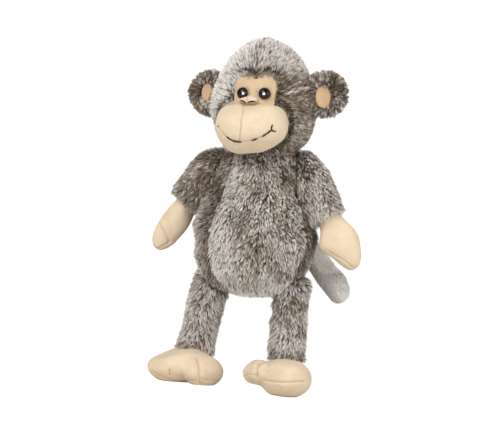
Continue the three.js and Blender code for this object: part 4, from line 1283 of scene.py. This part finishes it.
# %% Ear linings
LINING_SHIFT, LINING_STRETCH, DISH_DEPTH = {"left": 0.5, "right": 3.0}, 0.15, 1.6
for side in SIDES:
    lining = soft_form(f"{side}_ear_velboa", [f"{side}_ear_lining"], 0.9, 4, finer=1)
    places = points_of(lining)
    low, high = places.min(0), places.max(0)
    spread = (places - (low + high) / 2) / ((high - low) / 2)
    dish = np.clip(1 - spread[:, 0] ** 2 - spread[:, 2] ** 2, 0, 1)
    shift = np.array([LINING_SHIFT[side] * MM, 0, 0])
    places[:, 2] = places[:, 2] + (LINING_STRETCH * (high - low)[2] / 2) * spread[:, 2]
    set_points(lining, places + shift + np.array([0, DISH_DEPTH * MM, 0]) * dish[:, None])
    # Painted shade towards the lining's edge, under the pile of the rim.
    mark(lining, 0.5 * (1 - dish) ** 3)
    dress(lining, f"{side}_ear", [f"{side}_ear_lining"], tan_velboa)
    print(lining.name, (high - low).round(4))

# %% [markdown]
# ## Hands and feet
# A hand is a mitten of two panels with one seam round its edge. A foot has a top and a sole, a cleft beside
# the big toe and small darts that shape the toe cap. Both are darkened with painted shade where they face
# downwards, and the right hand also in the crease by its thumb.

# %% Hands
HAND_SEAM = {
    "left": [(328.3, 251.2), (336.4, 256.1), (345, 261), (353.4, 267.8)],
    "right": [(168, 243), (164, 245), (156.6, 249)],
}
THUMB_CREASE = [(159.2, 225), (163.5, 233.5), (169.5, 242.5)]
HAND_BULGE = {"left": 0.3, "right": 0.0}
CUFF_BAND = 4


def in_cuff(point, axis):
    return lambda places: (places - point) @ axis < CUFF_BAND * MM


for side in SIDES:
    nodes = [f"{side}_hand_cover", f"{side}_hand_filling"]
    point, axis = wrist[side]
    cuff = in_cuff(point, axis)
    hand = soft_form(f"{side}_hand_velboa", nodes, 2.8, 5, finer=2, swell=0.2, held=cuff)
    correct(hand)
    sideways = np.cross(axis, np.array(backward))
    sideways = sideways / np.linalg.norm(sideways)
    across = np.cross(sideways, axis)
    places = points_of(hand) - point
    along, wide = places @ axis, places @ sideways
    bulge = HAND_BULGE[side] * np.maximum(-wide, 0) * hump(along - 27 * MM, 17 * MM)
    set_points(hand, points_of(hand) - sideways * bulge[:, None])
    press_in(hand, np.abs((points_of(hand) - point) @ across), 0.7, 1.1, 0.35)
    carve(hand, seen_on(hand, *HAND_SEAM[side]), 0.7, 1.1, 0.7)
    # Painted shade darkens the crease between the thumb and the fingers, as well as cutting its groove.
    if side == "right":
        carve(hand, seen_on(hand, *THUMB_CREASE), 2.4, 2.0, 0.45)
    # Painted shade: the velboa darkens where it faces downwards.
    mark(hand, 0.28 * np.clip(0.2 - normals_of(hand)[:, 2], 0, 1))
    dress(hand, f"{side}_hand", [nodes[0]], cream_velboa)
    print(hand.name, len(hand.data.polygons), "faces")

# %% Feet
SOLE_HEIGHT = 0.05
FOOT_SEAMS = {
    "right": [
        ([(151.8, 371.3), (161, 376.6), (179, 381.3), (196.6, 380.7)], 0.8, 1.3, 0.5),
        ([(201.3, 379), (210, 380.5), (220, 381.3)], 0.8, 1.3, 0.5),
        ([(169.5, 369.6), (169.9, 375.4)], 1.2, 1.2, 0.8),
        ([(196, 357), (199, 367), (199.6, 384)], 2.2, 2.4, 0.5),
    ],
    "left": [
        ([(266, 380.7), (276, 382), (286, 382.5), (305, 381.3)], 0.9, 1.3, 0.6),
        ([(245, 373), (251, 374.6), (258, 375.4)], 0.8, 1.2, 0.5),
        ([(278, 386), (280.4, 388.4)], 0.7, 1.0, 0.4),
        ([(260, 362), (257.6, 369), (257, 378)], 2.2, 2.4, 0.5),
    ],
}
for side in SIDES:
    nodes = [f"{side}_foot_cover", f"{side}_foot_filling"]
    cuff = in_cuff(ankle[side], DOWN)
    foot = soft_form(f"{side}_foot_velboa", nodes, 3.0, 6, finer=2, held=cuff)
    correct(foot)
    for line, depth, width, tone in FOOT_SEAMS[side]:
        carve(foot, seen_on(foot, *line), depth, width, tone)
    lift_above(foot, SOLE_HEIGHT)
    # Painted shade: the velboa darkens where it faces downwards.
    mark(foot, 0.3 * np.clip(0.3 - normals_of(foot)[:, 2], 0, 1))
    dress(foot, f"{side}_foot", [nodes[0]], cream_velboa)
    print(foot.name, len(foot.data.polygons), "faces")

# %% [markdown]
# ## Fillings
# Nobody sees the loose fibre inside, but it is a piece of the toy. Each wad is a lumpy form that stays a
# little inside the cloth and follows its corrections.

# %% Fillings
WAD_INSET, LUMP_HEIGHT, WAD_HEIGHT = 3.2, 2.4, 1.5
bodies = frame["record"]["behaviour"]["bodies"]
body_of = {node: body for body, nodes in bodies.items() for node in nodes}
fillings = [node for node in frame["nodes"] if node.endswith("_filling")]
for node in fillings:
    wad = soft_form(node.replace("filling", "wadding"), [node], 4.0, 6)
    places = points_of(wad)
    lumps = LUMP_HEIGHT * (smooth_noise(places, 8 * MM, 91) - 0.5) - WAD_INSET
    set_points(wad, places + normals_of(wad) * (lumps * MM)[:, None])
    for ending in ["velboa", "plush", "plush_cover"]:
        correct(wad, node.replace("filling", ending))
    lift_above(wad, WAD_HEIGHT)
    dress(wad, body_of[node], [node], white_fibre)
print("fillings:", len(fillings))

# %% [markdown]
# ## Light and floor
# A wide soft lamp stands high on the picture's left, a second one fills from the right, and a third only
# makes the glints in the eyes. A bright surround keeps the shadows open. The floor and the surround show
# white to the camera.

# %% Lamps
def soft_lamp(name, place, size, power, only_gloss=False):
    bpy.ops.object.light_add(type="AREA", location=place)
    lamp = bpy.context.object
    lamp.name = name
    lamp.data.shape = "DISK"
    lamp.data.size = size
    lamp.data.energy = power
    lamp.rotation_euler = (AIM - Vector(place)).to_track_quat("-Z", "Y").to_euler()
    lamp.visible_diffuse = not only_gloss


def beside(right, up, towards):
    return AIM + level * right + upright * up + backward * towards


soft_lamp("window_lamp", beside(-0.9, 1.1, 1.2), size=1.2, power=21.5)
soft_lamp("fill_lamp", beside(1.3, 0.5, 1.0), size=1.2, power=11.5)
soft_lamp("glint_lamp", beside(-0.25, 0.15, 1.3), size=0.9, power=150, only_gloss=True)

# %% Surround
SURROUND, GLOSS_DIM = 0.45, 0.25


def ray_is(start, kind):
    return Wire(start.tree, start.node("ShaderNodeLightPath").socket.node.outputs[f"Is {kind} Ray"])


world = bpy.data.worlds.new("surround")
bpy.context.scene.world = world
world.use_nodes = True
sky = Wire(world.node_tree, None)
seen = ray_is(sky, "Camera") * (1 - SURROUND)
strength = seen + SURROUND - ray_is(sky, "Glossy") * GLOSS_DIM
world.node_tree.nodes["Background"].inputs["Color"].default_value = (1, 1, 1, 1)
world.node_tree.links.new(strength.socket, world.node_tree.nodes["Background"].inputs["Strength"])

# %% Floor
FLOOR_SIZE, WALL_HEIGHT, CORNER_WIDTH = 14, 7, 4.0
FLOOR_GLOW, FLOOR_SHARE = 1.2, 0.84
bpy.ops.mesh.primitive_plane_add(size=FLOOR_SIZE)
floor = bpy.context.object
floor.name = "floor"
bpy.ops.object.mode_set(mode="EDIT")
bpy.ops.mesh.select_mode(type="EDGE")
bpy.ops.mesh.select_all(action="DESELECT")
bpy.ops.object.mode_set(mode="OBJECT")
for edge in floor.data.edges:
    edge.select = all(floor.data.vertices[v].co.y > FLOOR_SIZE / 3 for v in edge.vertices)
bpy.ops.object.mode_set(mode="EDIT")
bpy.ops.mesh.extrude_region_move(TRANSFORM_OT_translate={"value": (0, 0, WALL_HEIGHT)})
bpy.ops.object.mode_set(mode="OBJECT")
apply(floor, "BEVEL", width=CORNER_WIDTH, segments=24, limit_method="ANGLE")
pick(floor)
bpy.ops.object.shade_smooth()
floor_white = bpy.data.materials.new("floor_white")
floor_white.use_nodes = True
net = floor_white.node_tree
net.nodes.remove(net.nodes["Principled BSDF"])
start = Wire(net, None)
matt = start.node("ShaderNodeBsdfDiffuse", Color=(0.9, 0.9, 0.9, 1))
glow = start.node("ShaderNodeEmission", Color=(1, 1, 1, 1), Strength=FLOOR_GLOW)
mixed = start.node("ShaderNodeMixShader", _0=ray_is(start, "Camera") * FLOOR_SHARE, _1=matt, _2=glow)
net.links.new(mixed.socket, net.nodes["Material Output"].inputs["Surface"])
floor.data.materials.append(floor_white)

bpy.context.scene.view_settings.view_transform = "Standard"
